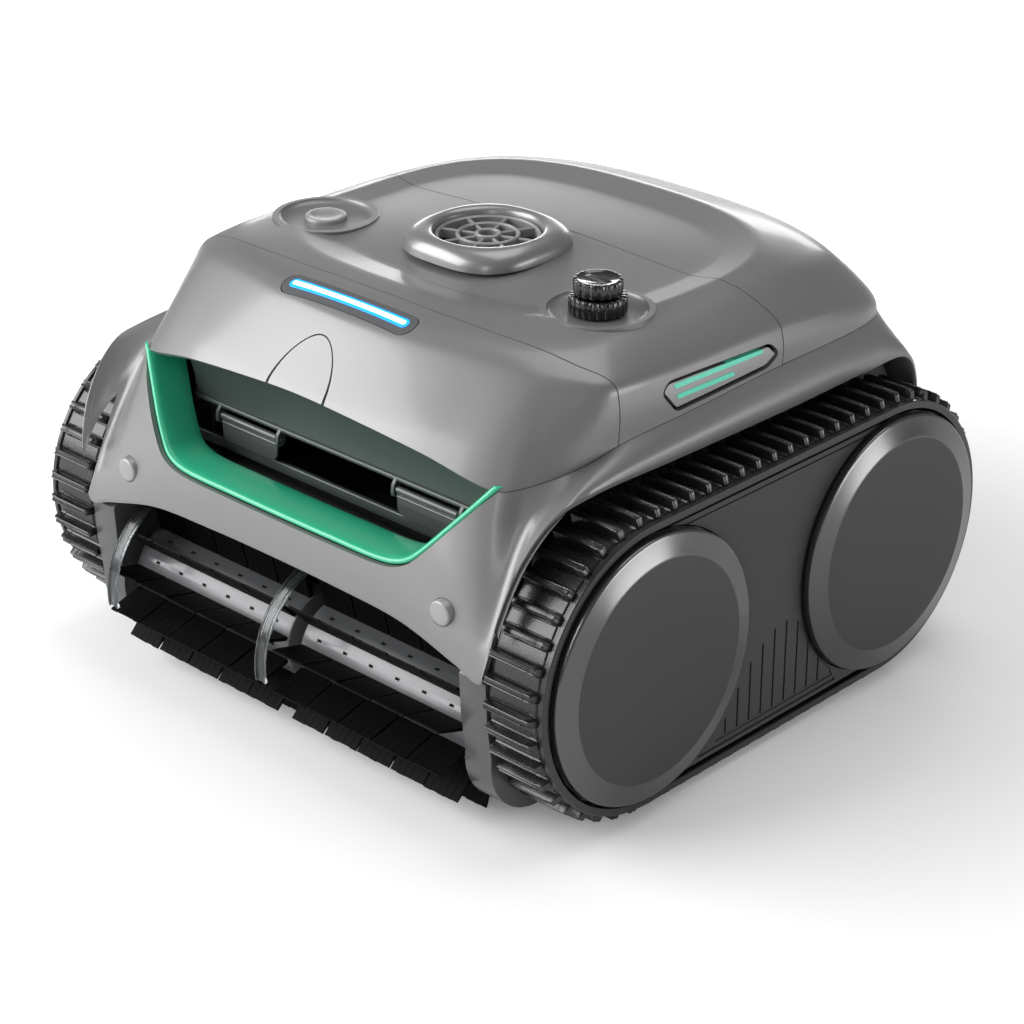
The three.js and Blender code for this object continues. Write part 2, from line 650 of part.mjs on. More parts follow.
function gear(teeth, x0, x1, y, z, bore, phase = 0) {
  const pitchRadius = (gearModule * teeth) / 2;
  const [root, tip] = [pitchRadius - 1.2 * gearModule, pitchRadius + 0.85 * gearModule];
  const outline = [];
  for (let i = 0; i < teeth; i += 1) {
    for (const [share, radius] of [[-0.29, root], [-0.11, tip], [0.11, tip], [0.29, root]]) {
      const angle = phase + (2 * Math.PI * (i + share)) / teeth;
      outline.push([y + radius * Math.cos(angle), z + radius * Math.sin(angle)]);
    }
  }
  return prismX(outline, x0, x1, [circle(bore, y, z, 20).reverse()]);
}

// Phases that put a tooth of the first gear opposite a gap of the second at rest.
function meshPhase(fromY, fromZ, toY, toZ, teeth, slip) {
  const angle = Math.atan2(fromZ - toZ, fromY - toY);
  return angle + (slip + 0.5) * ((2 * Math.PI) / teeth);
}
const brushLine = Math.atan2(brushZ - axleZ, brushY + axleY);
const pinionLine = Math.atan2(motorZ - axleZ, motorY + axleY);
const pinionSlip = ((pinionLine - brushLine) * wheelGearTeeth) / (2 * Math.PI);

function driveAxle() {
  const x0 = gearX - gearWidth / 2;
  const body = gear(wheelGearTeeth, x0, x0 + gearWidth, -axleY, axleZ, axleRadius - 1, brushLine);
  const shaft = rodX(axleRadius, brushHalfSpan + 2, trackOuterX - 3, -axleY, axleZ);
  return join(body, shaft);
}

function brushGear() {
  const x0 = gearX - gearWidth / 2;
  const phase = meshPhase(-axleY, axleZ, brushY, brushZ, brushGearTeeth, 0);
  return gear(brushGearTeeth, x0, x0 + gearWidth, brushY, brushZ, 5 + gap, phase);
}

function motorPinion() {
  const x0 = gearX - gearWidth / 2;
  const phase = meshPhase(-axleY, axleZ, motorY, motorZ, pinionTeeth, -pinionSlip);
  const teeth = gear(pinionTeeth, x0, x0 + gearWidth, motorY, motorZ, 2, phase);
  return join(teeth, rodX(3, 128, x0 + gearWidth, motorY, motorZ, 16));
}

function driveMotor() {
  const nose = sidePlateX - gap;
  return cut(
    turnedX([[84, 0], [84, 17], [86, 19], [138, 19], [140, 10], [nose, 10], [nose, 0]], motorY, motorZ, 28),
    rodX(3 + gap, 127, 150, motorY, motorZ, 16),
  );
}

function brushHalf() {
  const inner = brushCentreGap / 2;
  const outer = brushHalfSpan - 1;
  const pieces = [rodX(brushCoreRadius, inner, outer, brushY, brushZ, 32)];
  const half = bladeThickness / 2;
  pieces.push(rodX(5, outer - 1, gearX + gearWidth / 2, brushY, brushZ));
  for (let i = 0; i < bladeRows; i += 1) {
    const blade = box(inner + 1, outer - 1, brushCoreRadius - 3, brushRadius, -half, half);
    pieces.push(blade.rotate([(360 * (i + 0.5)) / bladeRows, 0, 0]).translate([0, brushY, brushZ]));
  }
  return join(...pieces);
}

const endPlate = { y: -146, z: 45.5, radius: 36, x0: 140 };

function brushEndPlate() {
  const { y, z, radius, x0 } = endPlate;
  const lobe = circle(radius, y, z, 36);
  const neck = [[-181.5, 48], [-186, 97], [-178, 99.8], [-150, 99.8], [-116, 80], [-112, 40]];
  const body = join(prismX(lobe, x0, trackInnerX - 1), prismX(neck.reverse(), x0, trackInnerX - 1));
  const pocketX = sidePlateX - 0.7;
  return cut(
    body,
    rodX(gearModule * (brushGearTeeth / 2 + 1) + 1.2, pocketX, 170, brushY, brushZ, 32),
    rodX(gearModule * (wheelGearTeeth / 2 + 1) + 1.5, pocketX, 170, -axleY, axleZ, 40),
    box(pocketX, 170, -126, -100, 0, 120),
    rodX(5 + gap, x0 - 2, 170, brushY, brushZ),
  );
}

function brushGuard(x) {
  const steps = 11;
  const arc = (radius, from, to) => Array.from({ length: steps + 1 }, (_, i) => {
    const angle = ((from + (to - from) * (i / steps)) * Math.PI) / 180;
    return [brushY + radius * Math.cos(angle), brushZ + radius * Math.sin(angle)];
  });
  const inner = brushRadius + guardClearance;
  const outer = inner + guardThickness;
  return prismX([...arc(outer, 90, 200), ...arc(inner, 90, 200).reverse()], x - 3, x + 3);
}

function sideFrame() {
  const bottom = frameBottomZ - 2;
  const outline = [
    [-114, 34], [-104, bottom], [168, bottom], [172, 60], [166, 150], [150, 176],
    [-120, 176], [-138, 150], [-138, 106], [-122, 84],
  ];
  const [x0, x1] = [sidePlateX, sidePlateX + sidePlateThickness];
  return cut(
    join(prismX(outline, x0, x1), rodX(axleRadius + 4, brushHalfSpan + 2.5, x0 + 1, -axleY, axleZ)),
    rodX(axleRadius + gap, 130, x1 + 1, -axleY, axleZ),
    rodX(axleRadius + gap, x0 - 1, x1 + 1, axleY, axleZ),
    rodX(3 + gap, x0 - 1, x1 + 1, motorY, motorZ, 16),
  );
}

function rearAxle() {
  return join(
    rodX(axleRadius, 138, trackOuterX - 3, axleY, axleZ),
    rodX(11, 138, sidePlateX - gap, axleY, axleZ),
    rodX(10, sidePlateX + sidePlateThickness + gap, trackInnerX + 2 - gap, axleY, axleZ),
  );
}

function sideSkirt() {
  const clear = beltInnerRadius - 1;
  const [x0, x1] = [trackOuterX - 8, trackOuterX - 1.5];
  const arcs = (centre, from, to) => Array.from({ length: 15 }, (_, i) => {
    const angle = from + ((to - from) * i) / 14;
    return [centre + clear * Math.cos(angle), axleZ + clear * Math.sin(angle)];
  });
  const spread = 1.02;
  const outline = [
    ...arcs(-axleY, -spread, spread),
    ...arcs(axleY, Math.PI - spread, Math.PI + spread),
  ];
  return join(
    prismX(outline, x0, x1),
    box(sidePlateX + sidePlateThickness + gap, x0 + 1, -14, 14, 70, 76),
    box(sidePlateX + sidePlateThickness + gap, x0 + 1, -14, 14, 120, 126),
  );
}

// ---- inner pieces ---------------------------------------------------------------------------------

function pumpHousing() {
  const base = frameBottomZ + floorThickness + gap;
  const top = 244;
  const tube = prismZ(
    circle(pumpDuctRadius + pumpDuctWall, 0, outletY, 24), base, top,
    [circle(pumpDuctRadius, 0, outletY, 24).reverse()]);
  const clamp = prismZ(circle(22.5, 0, outletY, 20), 168, 178, [circle(20 + gap, 0, outletY, 20).reverse()]);
  const struts = [30, 150, 270].map((angle) => box(21.5, pumpDuctRadius + 1, -1.5, 1.5, 169, 177)
    .rotate([0, 0, angle]).translate([0, outletY, 0]));
  const window = box(-16, 16, outletY - 60, outletY + 60, 112, 160);
  const foot = box(-16, 16, outletY - 60, outletY + 60, base + 14, 96);
  return cut(join(tube, clamp, ...struts), window, foot);
}

function pumpMotor() {
  return join(
    prismZ(circle(20, 0, outletY, 20), 132, 205),
    prismZ(circle(12, 0, outletY, 20), 126, 133),
  );
}

function impeller() {
  const hub = rodZ(10, 212, 236, 0, outletY, 20);
  const shaft = rodZ(2.5, 205 + gap, 213, 0, outletY, 12);
  const blades = [0, 1, 2, 3].map((i) => box(8, pumpDuctRadius - 2.5, -8, 8, -1.1, 1.1)
    .rotate([32, 0, 0]).rotate([0, 0, 90 * i]).translate([0, outletY, 224]));
  return join(hub, shaft, ...blades);
}

const batteryTop = 92;
function batteryPack() {
  const base = frameBottomZ + floorThickness + gap;
  const outline = [[-66, 44], [66, 44], [70, 48], [70, 146], [66, 150], [-66, 150], [-70, 146], [-70, 48]];
  return prismZ(outline, base, batteryTop);
}

function controlBox() {
  const [x, y0, y1] = [60, 52, 142];
  const base = batteryTop + gap;
  return join(
    box(-x, x, y0, y1, base, 140),
    box(-x - 6, x + 6, y0 - 6, y1 + 6, 136, 142),
    box(-20, 20, 90, 110, 140, 150),
  );
}

function rearDeck() {
  const outline = [[-138, 40.5], [138, 40.5], [138, 128], [118, 158], [-118, 158], [-138, 128]];
  const rail = box(136, sidePlateX + sidePlateThickness, 60, 120, 176 + gap, 184);
  return join(
    prismZ(outline, 183, 186),
    rail,
    mirrorX(rail),
    box(-40, 40, 60, 64, 150 + gap, 184),
  );
}

function powerButton() {
  return join(
    rodZ(buttonRadius, dishFloorZ - 2, dishFloorZ + 2.6, -dishX, dishY, 28),
    rodZ(4, dishFloorZ - 10, dishFloorZ - 1, -dishX, dishY, 16));
}

function chargingSocket() {
  const base = dishFloorZ - 14;
  const flangeTop = dishFloorZ - 3 - gap;
  return cut(
    join(
      rodZ(9, base, dishFloorZ + 6, dishX, dishY),
      rodZ(13, flangeTop - 4, flangeTop, dishX, dishY),
    ),
    rodZ(6.5, base + 4, dishFloorZ + 20, dishX, dishY));
}

function chargingCap() {
  const plug = rodZ(5.8, dishFloorZ - 6, dishFloorZ + 12, dishX, dishY);
  const head = rodZ(capRadius, dishFloorZ + 10.6, capTopZ, dishX, dishY, 32);
  return join(plug, head);
}

function chargingCapRing() {
  const teeth = 24;
  const outline = Array.from({ length: teeth * 2 }, (_, i) => {
    const radius = i % 2 ? capRingRadius : capRingRadius - 0.9;
    const angle = (Math.PI * i) / teeth;
    return [dishX + radius * Math.cos(angle), dishY + radius * Math.sin(angle)];
  });
  return prismZ(outline, dishFloorZ + gap, dishFloorZ + 10.2, [circle(9 + gap, dishX, dishY, 20).reverse()]);
}

// ---- assembly --------------------------------------------------------------------------------------

const looks = {
  shell: [0x6b6b6b, 0.35, 0.1],
  trim: [0x8c8c8c, 0.4, 0.1],
  green: [0x2fae86, 0.3, 0],
  light: [0xd8f0ff, 0.2, 0],
  clear: [0xcfd4d6, 0.1, 0],
  black: [0x141414, 0.25, 0],
  darkPlastic: [0x2a2a2a, 0.5, 0],
  rubber: [0x1c1c1c, 0.7, 0],
  disc: [0x454545, 0.35, 0.1],
  metal: [0xb0b3b5, 0.3, 0.9],
  gearPlastic: [0xc9c4b4, 0.5, 0],
  battery: [0x2e4a6b, 0.5, 0],
};

const machine = new THREE.Group();

function add(name, solid, look) {
  const [color, roughness, metalness] = looks[look];
  const material = new THREE.MeshStandardMaterial({ color, roughness, metalness });
  const mesh = new THREE.Mesh(toGeometry(solid), material);
  mesh.name = name;
  machine.add(mesh);
}

function addPair(name, solid, look) {
  add(`${name}_right`, solid, look);
  add(`${name}_left`, mirrorX(solid), look);
}

function addHood() {
  const hood = hoodParts();
  add('nose_cover', hood.nose, 'shell');
  add('light_bar', hood.lens, 'light');
  add('latch_tab', hood.tab, 'shell');
  add('top_cover', hood.middle, 'shell');
  add('rear_cover', hood.rear, 'shell');
  add('side_trim_right', hood.trims.right, 'trim');
  add('side_trim_left', hood.trims.left, 'trim');
  add('outlet_bezel', outletBezel(), 'shell');
  add('outlet_grille', outletGrille(), 'trim');
  add('power_button', powerButton(), 'trim');
  add('charging_socket', chargingSocket(), 'black');
  add('charging_cap', chargingCap(), 'black');
  add('charging_cap_ring', chargingCapRing(), 'black');
}

function addBody() {
  add('body_frame', bodyFrame(), 'shell');
  add('mouth_bezel', mouthBezel(), 'green');
  add('filter_chamber', filterChamber(), 'darkPlastic');
  add('filter_basket', filterBasket(), 'darkPlastic');
  add('base_pan', basePan(), 'darkPlastic');
  add('rear_deck', rearDeck(), 'darkPlastic');
  addPair('screw_cap', rodY(7, -187.5, -176, 126, 126), 'trim');
  addPair('mouth_flap', mouthFlap(1), 'trim');
  addPair('hinge_pin', rodX(hingePinRadius, 42, 77, lidAxisY, lidAxisZ, 12), 'metal');
}

function addRunningGear() {
  addPair('track', track(), 'rubber');
  addPair('side_frame', sideFrame(), 'darkPlastic');
  addPair('side_skirt', sideSkirt(), 'darkPlastic');
  addPair('front_wheel', wheel(-axleY), 'darkPlastic');
  addPair('front_wheel_cover', wheelCover(-axleY), 'disc');
  addPair('rear_wheel', wheel(axleY), 'darkPlastic');
  addPair('rear_wheel_cover', wheelCover(axleY), 'disc');
  addPair('drive_axle', driveAxle(), 'gearPlastic');
  addPair('rear_axle', rearAxle(), 'metal');
  addPair('drive_motor', driveMotor(), 'metal');
  addPair('motor_pinion', motorPinion(), 'gearPlastic');
  addPair('brush', brushHalf(), 'rubber');
  addPair('brush_gear', brushGear(), 'gearPlastic');
  addPair('brush_end_plate', brushEndPlate(), 'trim');
  add('brush_guard_centre', brushGuard(0), 'clear');
  add('brush_guard_left', brushGuard(-128), 'clear');
}

function addInside() {
  add('pump_housing', pumpHousing(), 'darkPlastic');
  add('pump_motor', pumpMotor(), 'metal');
  add('impeller', impeller(), 'gearPlastic');
  add('battery_pack', batteryPack(), 'battery');
  add('control_box', controlBox(), 'darkPlastic');
}

addHood();
addBody();
addRunningGear();
addInside();
machine.position.y = (frontReach - rearReach) / 2;

export default machine;
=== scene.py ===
"""Looks for the tracked pool cleaning robot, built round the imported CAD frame.

Shapes are written in millimetres about the middle of the wheelbase on the ground, front towards -Y,
and turned into metres of the frame when a piece is made.
"""
import bpy
import bmesh
import json
import math
import numpy as np
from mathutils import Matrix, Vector


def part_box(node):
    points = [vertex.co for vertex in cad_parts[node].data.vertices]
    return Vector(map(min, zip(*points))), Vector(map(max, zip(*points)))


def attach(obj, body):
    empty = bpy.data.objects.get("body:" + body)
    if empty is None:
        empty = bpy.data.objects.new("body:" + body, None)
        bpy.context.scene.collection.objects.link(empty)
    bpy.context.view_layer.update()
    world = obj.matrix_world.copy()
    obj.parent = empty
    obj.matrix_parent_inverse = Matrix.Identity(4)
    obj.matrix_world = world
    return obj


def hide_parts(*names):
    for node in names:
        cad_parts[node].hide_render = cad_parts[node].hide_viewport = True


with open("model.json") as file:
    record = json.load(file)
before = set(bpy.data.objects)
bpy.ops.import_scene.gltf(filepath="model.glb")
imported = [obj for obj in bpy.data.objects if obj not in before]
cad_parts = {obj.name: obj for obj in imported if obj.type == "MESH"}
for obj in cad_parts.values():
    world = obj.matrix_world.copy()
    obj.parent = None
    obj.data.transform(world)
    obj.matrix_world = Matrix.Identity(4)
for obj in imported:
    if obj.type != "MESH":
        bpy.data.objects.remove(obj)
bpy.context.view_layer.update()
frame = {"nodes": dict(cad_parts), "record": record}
scene = bpy.context.scene

MM = 0.001
AXLE_Y, AXLE_Z = 102.3, 88.8      # the wheel axles, before and behind the middle
_lo, _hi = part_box("front_wheel_cover_right")
SHIFT = (_lo.y + _hi.y) / 2 / MM + AXLE_Y      # from the middle of the wheelbase to the frame's origin
GAP = 0.35       # the joint between two pieces
AXIS = 0.0001    # a radius that stands for the axis of a lathe profile
FAR = 300        # past the end of the body, for cutters
TURN = 2 * math.pi

# ---- mesh helpers


def mesh_object(name, verts, faces):
    points = (np.asarray(verts, float) + (0, SHIFT, 0)) * MM
    mesh = bpy.data.meshes.new(name)
    mesh.from_pydata(points.tolist(), [], [tuple(int(i) for i in f) for f in faces])
    mesh.update()
    obj = bpy.data.objects.new(name, mesh)
    scene.collection.objects.link(obj)
    return obj


def closed(obj, merge=True):
    """Merges doubles and turns the faces of a closed mesh outwards."""
    bm = bmesh.new()
    bm.from_mesh(obj.data)
    if merge:
        bmesh.ops.remove_doubles(bm, verts=bm.verts, dist=2e-6)
    bmesh.ops.recalc_face_normals(bm, faces=bm.faces)
    bm.to_mesh(obj.data)
    bm.free()
    return obj


def apply(obj):
    graph = bpy.context.evaluated_depsgraph_get()
    mesh = bpy.data.meshes.new_from_object(obj.evaluated_get(graph))
    obj.modifiers.clear()
    obj.data = mesh
    return obj


def boolean(obj, cutter, operation="DIFFERENCE"):
    mod = obj.modifiers.new("cut", "BOOLEAN")
    mod.operation = operation
    mod.solver = "MANIFOLD"
    mod.object = cutter
    apply(obj)
    bpy.data.objects.remove(cutter)
    return obj


def cut(obj, *cutters):
    for cutter in cutters:
        boolean(obj, cutter)
    return obj


def join(obj, *others):
    for other in others:
        boolean(obj, other, "UNION")
    return obj


def common(obj, other):
    return boolean(obj, other, "INTERSECT")


def copy_of(obj, name):
    other = obj.copy()
    other.data = obj.data.copy()
    other.name = name
    scene.collection.objects.link(other)
    return other


def bevel(obj, width, segments=2, angle=30):
    mod = obj.modifiers.new("bevel", "BEVEL")
    mod.width = width * MM
    mod.segments = segments
    mod.limit_method = "ANGLE"
    mod.angle_limit = math.radians(angle)
    mod.harden_normals = False
    return apply(obj)


def smooth(obj, angle=35):
    obj.data.shade_smooth()
    obj.data.set_sharp_from_angle(angle=math.radians(angle))
    return obj


def merged(objs):
    """One object of several, such as the cutters of a row of slots."""
    bpy.ops.object.select_all(action="DESELECT")
    for o in objs:
        o.select_set(True)
    bpy.context.view_layer.objects.active = objs[0]
    bpy.ops.object.join()
    return objs[0]


def flip_x(obj):
    """Turns a piece into its mirror image across the middle of the machine."""
    for v in obj.data.vertices:
        v.co.x = -v.co.x
    obj.data.flip_normals()
    return obj


def loop_faces(rows, count, base=0, wrap=False):
    """Quads between rows of closed loops; wrap joins the last row to the first."""
    faces = []
    for k in range(rows if wrap else rows - 1):
        a, b = base + k * count, base + (k + 1) % rows * count
        for i in range(count):
            j = (i + 1) % count
            faces.append((a + i, a + j, b + j, b + i))
    return faces


def bar_faces(rows, count, base=0):
    """The faces of a bar made of equal sections: its sides and its two ends."""
    last = base + (rows - 1) * count
    ends = [tuple(range(base, base + count)), tuple(last + i for i in reversed(range(count)))]
    return loop_faces(rows, count, base) + ends


def prism(name, outline, axis, a, b):
    """A prism of a 2-D outline: axis X takes (y, z), Y takes (x, z) and Z takes (x, y) pairs."""
    def place(p, t):
        return {"X": (t, p[0], p[1]), "Y": (p[0], t, p[1]), "Z": (p[0], p[1], t)}[axis]
    n = len(outline)
    verts = [place(p, a) for p in outline] + [place(p, b) for p in outline]
    faces = [tuple(range(n)), tuple(range(2 * n - 1, n - 1, -1))] + loop_faces(2, n)
    return solid(name, verts, faces)


def block(name, x0, x1, y0, y1, z0, z1):
    return prism(name, [(x0, y0), (x1, y0), (x1, y1), (x0, y1)], "Z", z0, z1)


def solid(name, verts, faces, merge=True):
    return closed(mesh_object(name, verts, faces), merge)


def lathe(name, profile, centre, axis="X", steps=96):
    """Turns (along, radius) pairs round the axis. A closed profile that stays off the axis makes a ring."""
    angles = np.arange(steps) * 2 * np.pi / steps
    rows = []
    for along, radius in profile:
        c, s = radius * np.cos(angles), radius * np.sin(angles)
        t = np.full(steps, float(along))
        rows.append(np.stack({"X": (t, c, s), "Y": (c, t, s), "Z": (c, s, t)}[axis], 1))
    verts = np.concatenate(rows) + np.asarray(centre, float)
    return solid(name, verts, loop_faces(len(profile), steps, wrap=True))


def grid_solid(name, rows, pole_a=None, pole_b=None):
    """Rows of closed loops. Poles close the ends; without them the last row joins the first."""
    count, verts = len(rows[0]), np.concatenate(rows)
    faces = loop_faces(len(rows), count, wrap=pole_a is None)
    if pole_a is not None:
        base, end = len(verts), (len(rows) - 1) * count
        verts = np.concatenate([verts, [pole_a, pole_b]])
        for i in range(count):
            j = (i + 1) % count
            faces += [(base, j, i), (base + 1, end + i, end + j)]
    return solid(name, verts, faces)


def swept(name, path, section, across):
    """Sweeps (across, up) pairs along an open path and closes its ends."""
    path = np.asarray(path, float)
    tangent = np.gradient(path, axis=0)
    tangent /= np.linalg.norm(tangent, axis=1)[:, None]
    across = np.tile(np.asarray(across, float), (len(path), 1))
    across = across - (across * tangent).sum(1)[:, None] * tangent
    across /= np.linalg.norm(across, axis=1)[:, None]
    up = np.cross(tangent, across)
    verts = np.concatenate([path[i] + np.array([a * across[i] + b * up[i] for a, b in section])
                            for i in range(len(path))])
    return solid(name, verts, bar_faces(len(path), len(section)))


def on_circle(centre, radius, angle):
    return centre[0] + radius * math.cos(angle), centre[1] + radius * math.sin(angle)


def arc(centre, radius, start, end, steps, endpoint=True):
    """Points of an arc, with its start and end in radians."""
    return [on_circle(centre, radius, t) for t in np.linspace(start, end, steps, endpoint=endpoint)]


def rod(name, axis, radius, a, b, centre, steps=32, edge=0.0):
    """A round bar with small chamfers; centre is the two coordinates across the axis."""
    e = edge or min(radius, abs(b - a)) * 0.06
    profile = [(a, AXIS), (a, radius - e), (a + e, radius), (b - e, radius), (b, radius - e), (b, AXIS)]
    c = {"X": (0, *centre), "Y": (centre[0], 0, centre[1]), "Z": (*centre, 0)}[axis]
    return lathe(name, profile, c, axis, steps)


def spline(points, per, cyclic=False):
    """Centripetal Catmull-Rom through the points, per samples to a span."""
    p = np.asarray(points, float)
    n = len(p)
    spans = n if cyclic else n - 1
    out = []
    for s in range(spans):
        if cyclic:
            q = [p[(s - 1) % n], p[s], p[(s + 1) % n], p[(s + 2) % n]]
        else:
            first = p[s - 1] if s > 0 else 2 * p[0] - p[1]
            last = p[s + 2] if s + 2 < n else 2 * p[-1] - p[-2]
            q = [first, p[s], p[s + 1], last]
        d = [max(np.linalg.norm(q[i + 1] - q[i]) ** 0.5, 1e-6) for i in range(3)]
        t1 = ((q[1] - q[0]) / d[0] - (q[2] - q[0]) / (d[0] + d[1]) + (q[2] - q[1]) / d[1]) * d[1]
        t2 = ((q[2] - q[1]) / d[1] - (q[3] - q[1]) / (d[1] + d[2]) + (q[3] - q[2]) / d[2]) * d[1]
        for k in range(per):
            w = k / per
            out.append(q[1] + t1 * w + (3 * (q[2] - q[1]) - 2 * t1 - t2) * w * w
                       + (2 * (q[1] - q[2]) + t1 + t2) * w ** 3)
    if not cyclic:
        out.append(p[-1])
    return np.array(out)


# ---- the body's form

PER = 8
lower_crease = [
    (0, -168, 206), (46, -167, 203.5), (92, -164, 198.5), (138, -155.5, 188.8), (146, -143, 189),
    (151, -131, 190.5), (155, -118, 192.5), (158, -104, 195.5), (160, -88, 199), (162, -30, 202),
    (162.5, 40, 205), (161, 105, 205), (157, 128, 204), (149, 147, 202.5), (138, 159, 201), (122, 167, 200.5),
    (90, 175, 200), (45, 178, 200), (0, 179, 200)]
upper_crease = [
    (0, -139.5, 239.5), (46, -137, 239), (88, -129.5, 238), (126, -119, 236.5), (138, -112, 235.5),
    (146, -106, 234.5), (153, -100, 233.5), (157, -95, 232.5), (159, -88, 231.5), (160, -30, 228.5),
    (160.5, 40, 228), (159, 100, 222), (155, 124, 218), (147, 142, 214.5), (136, 154, 213), (120, 162, 213),
    (88, 169.5, 214), (45, 172.5, 215), (0, 173.5, 215.5)]
shoulder = [
    (0, -126, 247.4), (40, -124, 247.2), (76, -118, 246.8), (104, -109, 246.4), (116, -103, 246.2),
    (124, -97, 246), (130, -90, 246), (134, -83, 246), (137, -74, 246), (139, -28, 245.6), (139, 36, 245.4),
    (136, 88, 243), (130, 110, 241.5), (121, 127, 240), (110, 137, 239.5), (96, 145, 239.5), (70, 153, 240),
    (35, 157, 240.5), (0, 158, 240.5)]
fender_lip = [
    (0, -187, 117), (50, -187.5, 116.8), (100, -188, 114.5), (140, -188.5, 104.5), (158, -189, 100.5),
    (166, -184.5, 136), (170, -171, 165), (173, -150, 184), (172.5, -122, 187.5), (171, -50, 185.5),
    (171, 45, 184.5), (170, 112, 184.5), (169, 150, 182), (164, 169, 162), (157, 180, 125), (146, 182, 90),
    (100, 183.5, 62), (50, 184, 60), (0, 184, 60)]
PANEL_Y = 10.0
HOOD_Y = 6.0


def ring(half):
    left = [(-x, y, z) for x, y, z in half[-2:0:-1]]
    return spline(list(half) + left, PER, cyclic=True)


def panel_ring(half_x, half_y, front, rear, side_z, drop, count):
    angle = np.arange(count) * 2 * np.pi / count
    s, c = np.sin(angle), -np.cos(angle)
    squeeze = (np.abs(s) ** 3 + np.abs(c) ** 3) ** (-1 / 3)
    z = side_z + (np.where(c < 0, front, rear) - side_z) * c * c - drop
    return np.stack([half_x * s * squeeze, PANEL_Y + half_y * c * squeeze, z], 1)


def outwards(loop):
    """Level directions away from the middle of the hood, one for each point."""
    out = np.stack([loop[:, 0] / 160, (loop[:, 1] - HOOD_Y) / 175, np.zeros(len(loop))], 1)
    return out / np.linalg.norm(out, axis=1)[:, None]


def between(a, b, share, bulge=0.0):
    mid = a + (b - a) * share
    return mid + outwards(mid) * bulge


def rounded(loops, shares, steps):
    """Rows through the loops, with each inner one rounded off by a small curve."""
    rows = [loops[0]]
    for i in range(1, len(loops) - 1):
        before, after = shares[i - 1]
        a = loops[i] + (loops[i - 1] - loops[i]) * before
        b = loops[i] + (loops[i + 1] - loops[i]) * after
        for t in np.linspace(0, 1, steps):
            rows.append((1 - t) ** 2 * a + 2 * t * (1 - t) * loops[i] + t * t * b)
    rows.append(loops[-1])
    return rows


def offset_rows(rows, distance):
    """The rows moved along the surface's inward normals."""
    grid = np.array(rows)
    du = np.roll(grid, -1, 1) - np.roll(grid, 1, 1)
    dv = np.gradient(grid, axis=0)
    normal = np.cross(du, dv)
    normal /= np.maximum(np.linalg.norm(normal, axis=2), 1e-9)[:, :, None]
    centre = grid.mean((0, 1))
    if ((grid - centre) * normal).sum() < 0:
        normal = -normal
    return [row for row in grid - normal * distance]


R_lower, R_upper, R_shoulder, R_lip = (ring(h) for h in (lower_crease, upper_crease, shoulder, fender_lip))
STATIONS = len(R_lower)
R_outer = panel_ring(126, 106, 249.8, 252.2, 248.5, 0, STATIONS)
R_inner = panel_ring(108, 84, 250.2, 252.2, 250.5, 4, STATIONS)
PEAK = np.array([0, PANEL_Y, 251.5])


def nose_fold():
    """The soft fold on the nose: an arc from the lip under the tab up to both upper corners."""
    x, y = np.abs(R_lower[:, 0]), R_lower[:, 1]
    share = np.interp(x, [0, 30, 60, 92, 120, 138, 150, 162], [0.07, 0.09, 0.15, 0.27, 0.5, 0.66, 0.6, 0.5])
    bulge = np.interp(x, [0, 40, 92, 125, 150, 162], [0.5, 1.2, 2.6, 2.8, 2.0, 1.5])
    ahead = np.clip((-96 - y) / 12, 0, 1)
    share = 0.5 + (share - 0.5) * ahead
    bulge = 1.5 + (bulge - 1.5) * ahead
    mid = between(R_lower, R_upper, share[:, None])
    return mid + (between(R_lower, R_upper, 0.5, 1.0) - between(R_lower, R_upper, 0.5)) * bulge[:, None]


def hood_rows():
    crown = []
    for s in (0.3, 0.6, 0.85):
        loop = R_inner + (PEAK - R_inner) * s
        loop[:, 2] = R_inner[:, 2] + (PEAK[2] - R_inner[:, 2]) * (1 - (1 - s) ** 1.6)
        crown.append(loop)
    loops = [R_lower, nose_fold(), R_upper, between(R_upper, R_shoulder, 0.45, 1.6),
             R_shoulder, R_outer, R_inner, *crown]
    shares = [(0.4, 0.4), (0.3, 0.4), (0.45, 0.45), (0.5, 0.45), (0.14, 0.12), (0.12, 0.16)] + [(0.4, 0.4)] * 3
    return rounded(loops, shares, 7)


def hood_solid(depth=3.0):
    rows = hood_rows()
    inner = offset_rows(rows, depth)
    inner[0] = inner[0] + (0, 0, -0.4)
    verts = np.concatenate(rows + inner + [[PEAK, PEAK - (0, 0, depth)]])
    n, k = STATIONS, len(rows)
    faces = loop_faces(k, n) + [f[::-1] for f in loop_faces(k, n, k * n)]
    for i in range(n):
        j = (i + 1) % n
        faces += [(j, i, k * n + i, k * n + j), ((k - 1) * n + i, (k - 1) * n + j, 2 * k * n),
                  ((2 * k - 1) * n + j, (2 * k - 1) * n + i, 2 * k * n + 1)]
    return solid("hood", verts, faces)


front_joint = [(0, -108.5), (60, -108), (105, -104.5), (138, -98), (160, -88), (202, -84)]
rear_joint = [(0, 27), (80, 27.5), (118, 30), (142, 36), (160, 43), (202, 46)]


def joint_line(joint, shift):
    half = spline([(x, y, 0) for x, y in joint], 8)[:, :2] + (0, shift)
    left = half[:0:-1] * (-1, 1)
    return [tuple(p) for p in np.concatenate([left, half])]


def pill(half_length, radius, centre_y, grow=0.0, steps=12):
    r = radius + grow
    out = []
    for sign in (1, -1):
        for i in range(steps + 1):
            t = -math.pi / 2 + math.pi * i / steps
            out.append((sign * (half_length - radius + r * math.cos(t)), centre_y + sign * r * math.sin(t)))
    return out

# ---- materials


def set_inputs(node, **inputs):
    for socket, value in inputs.items():
        node.inputs[socket.replace("_", " ")].default_value = value
    return node


def add_node(nodes, kind, **inputs):
    return set_inputs(nodes.new(kind), **inputs)


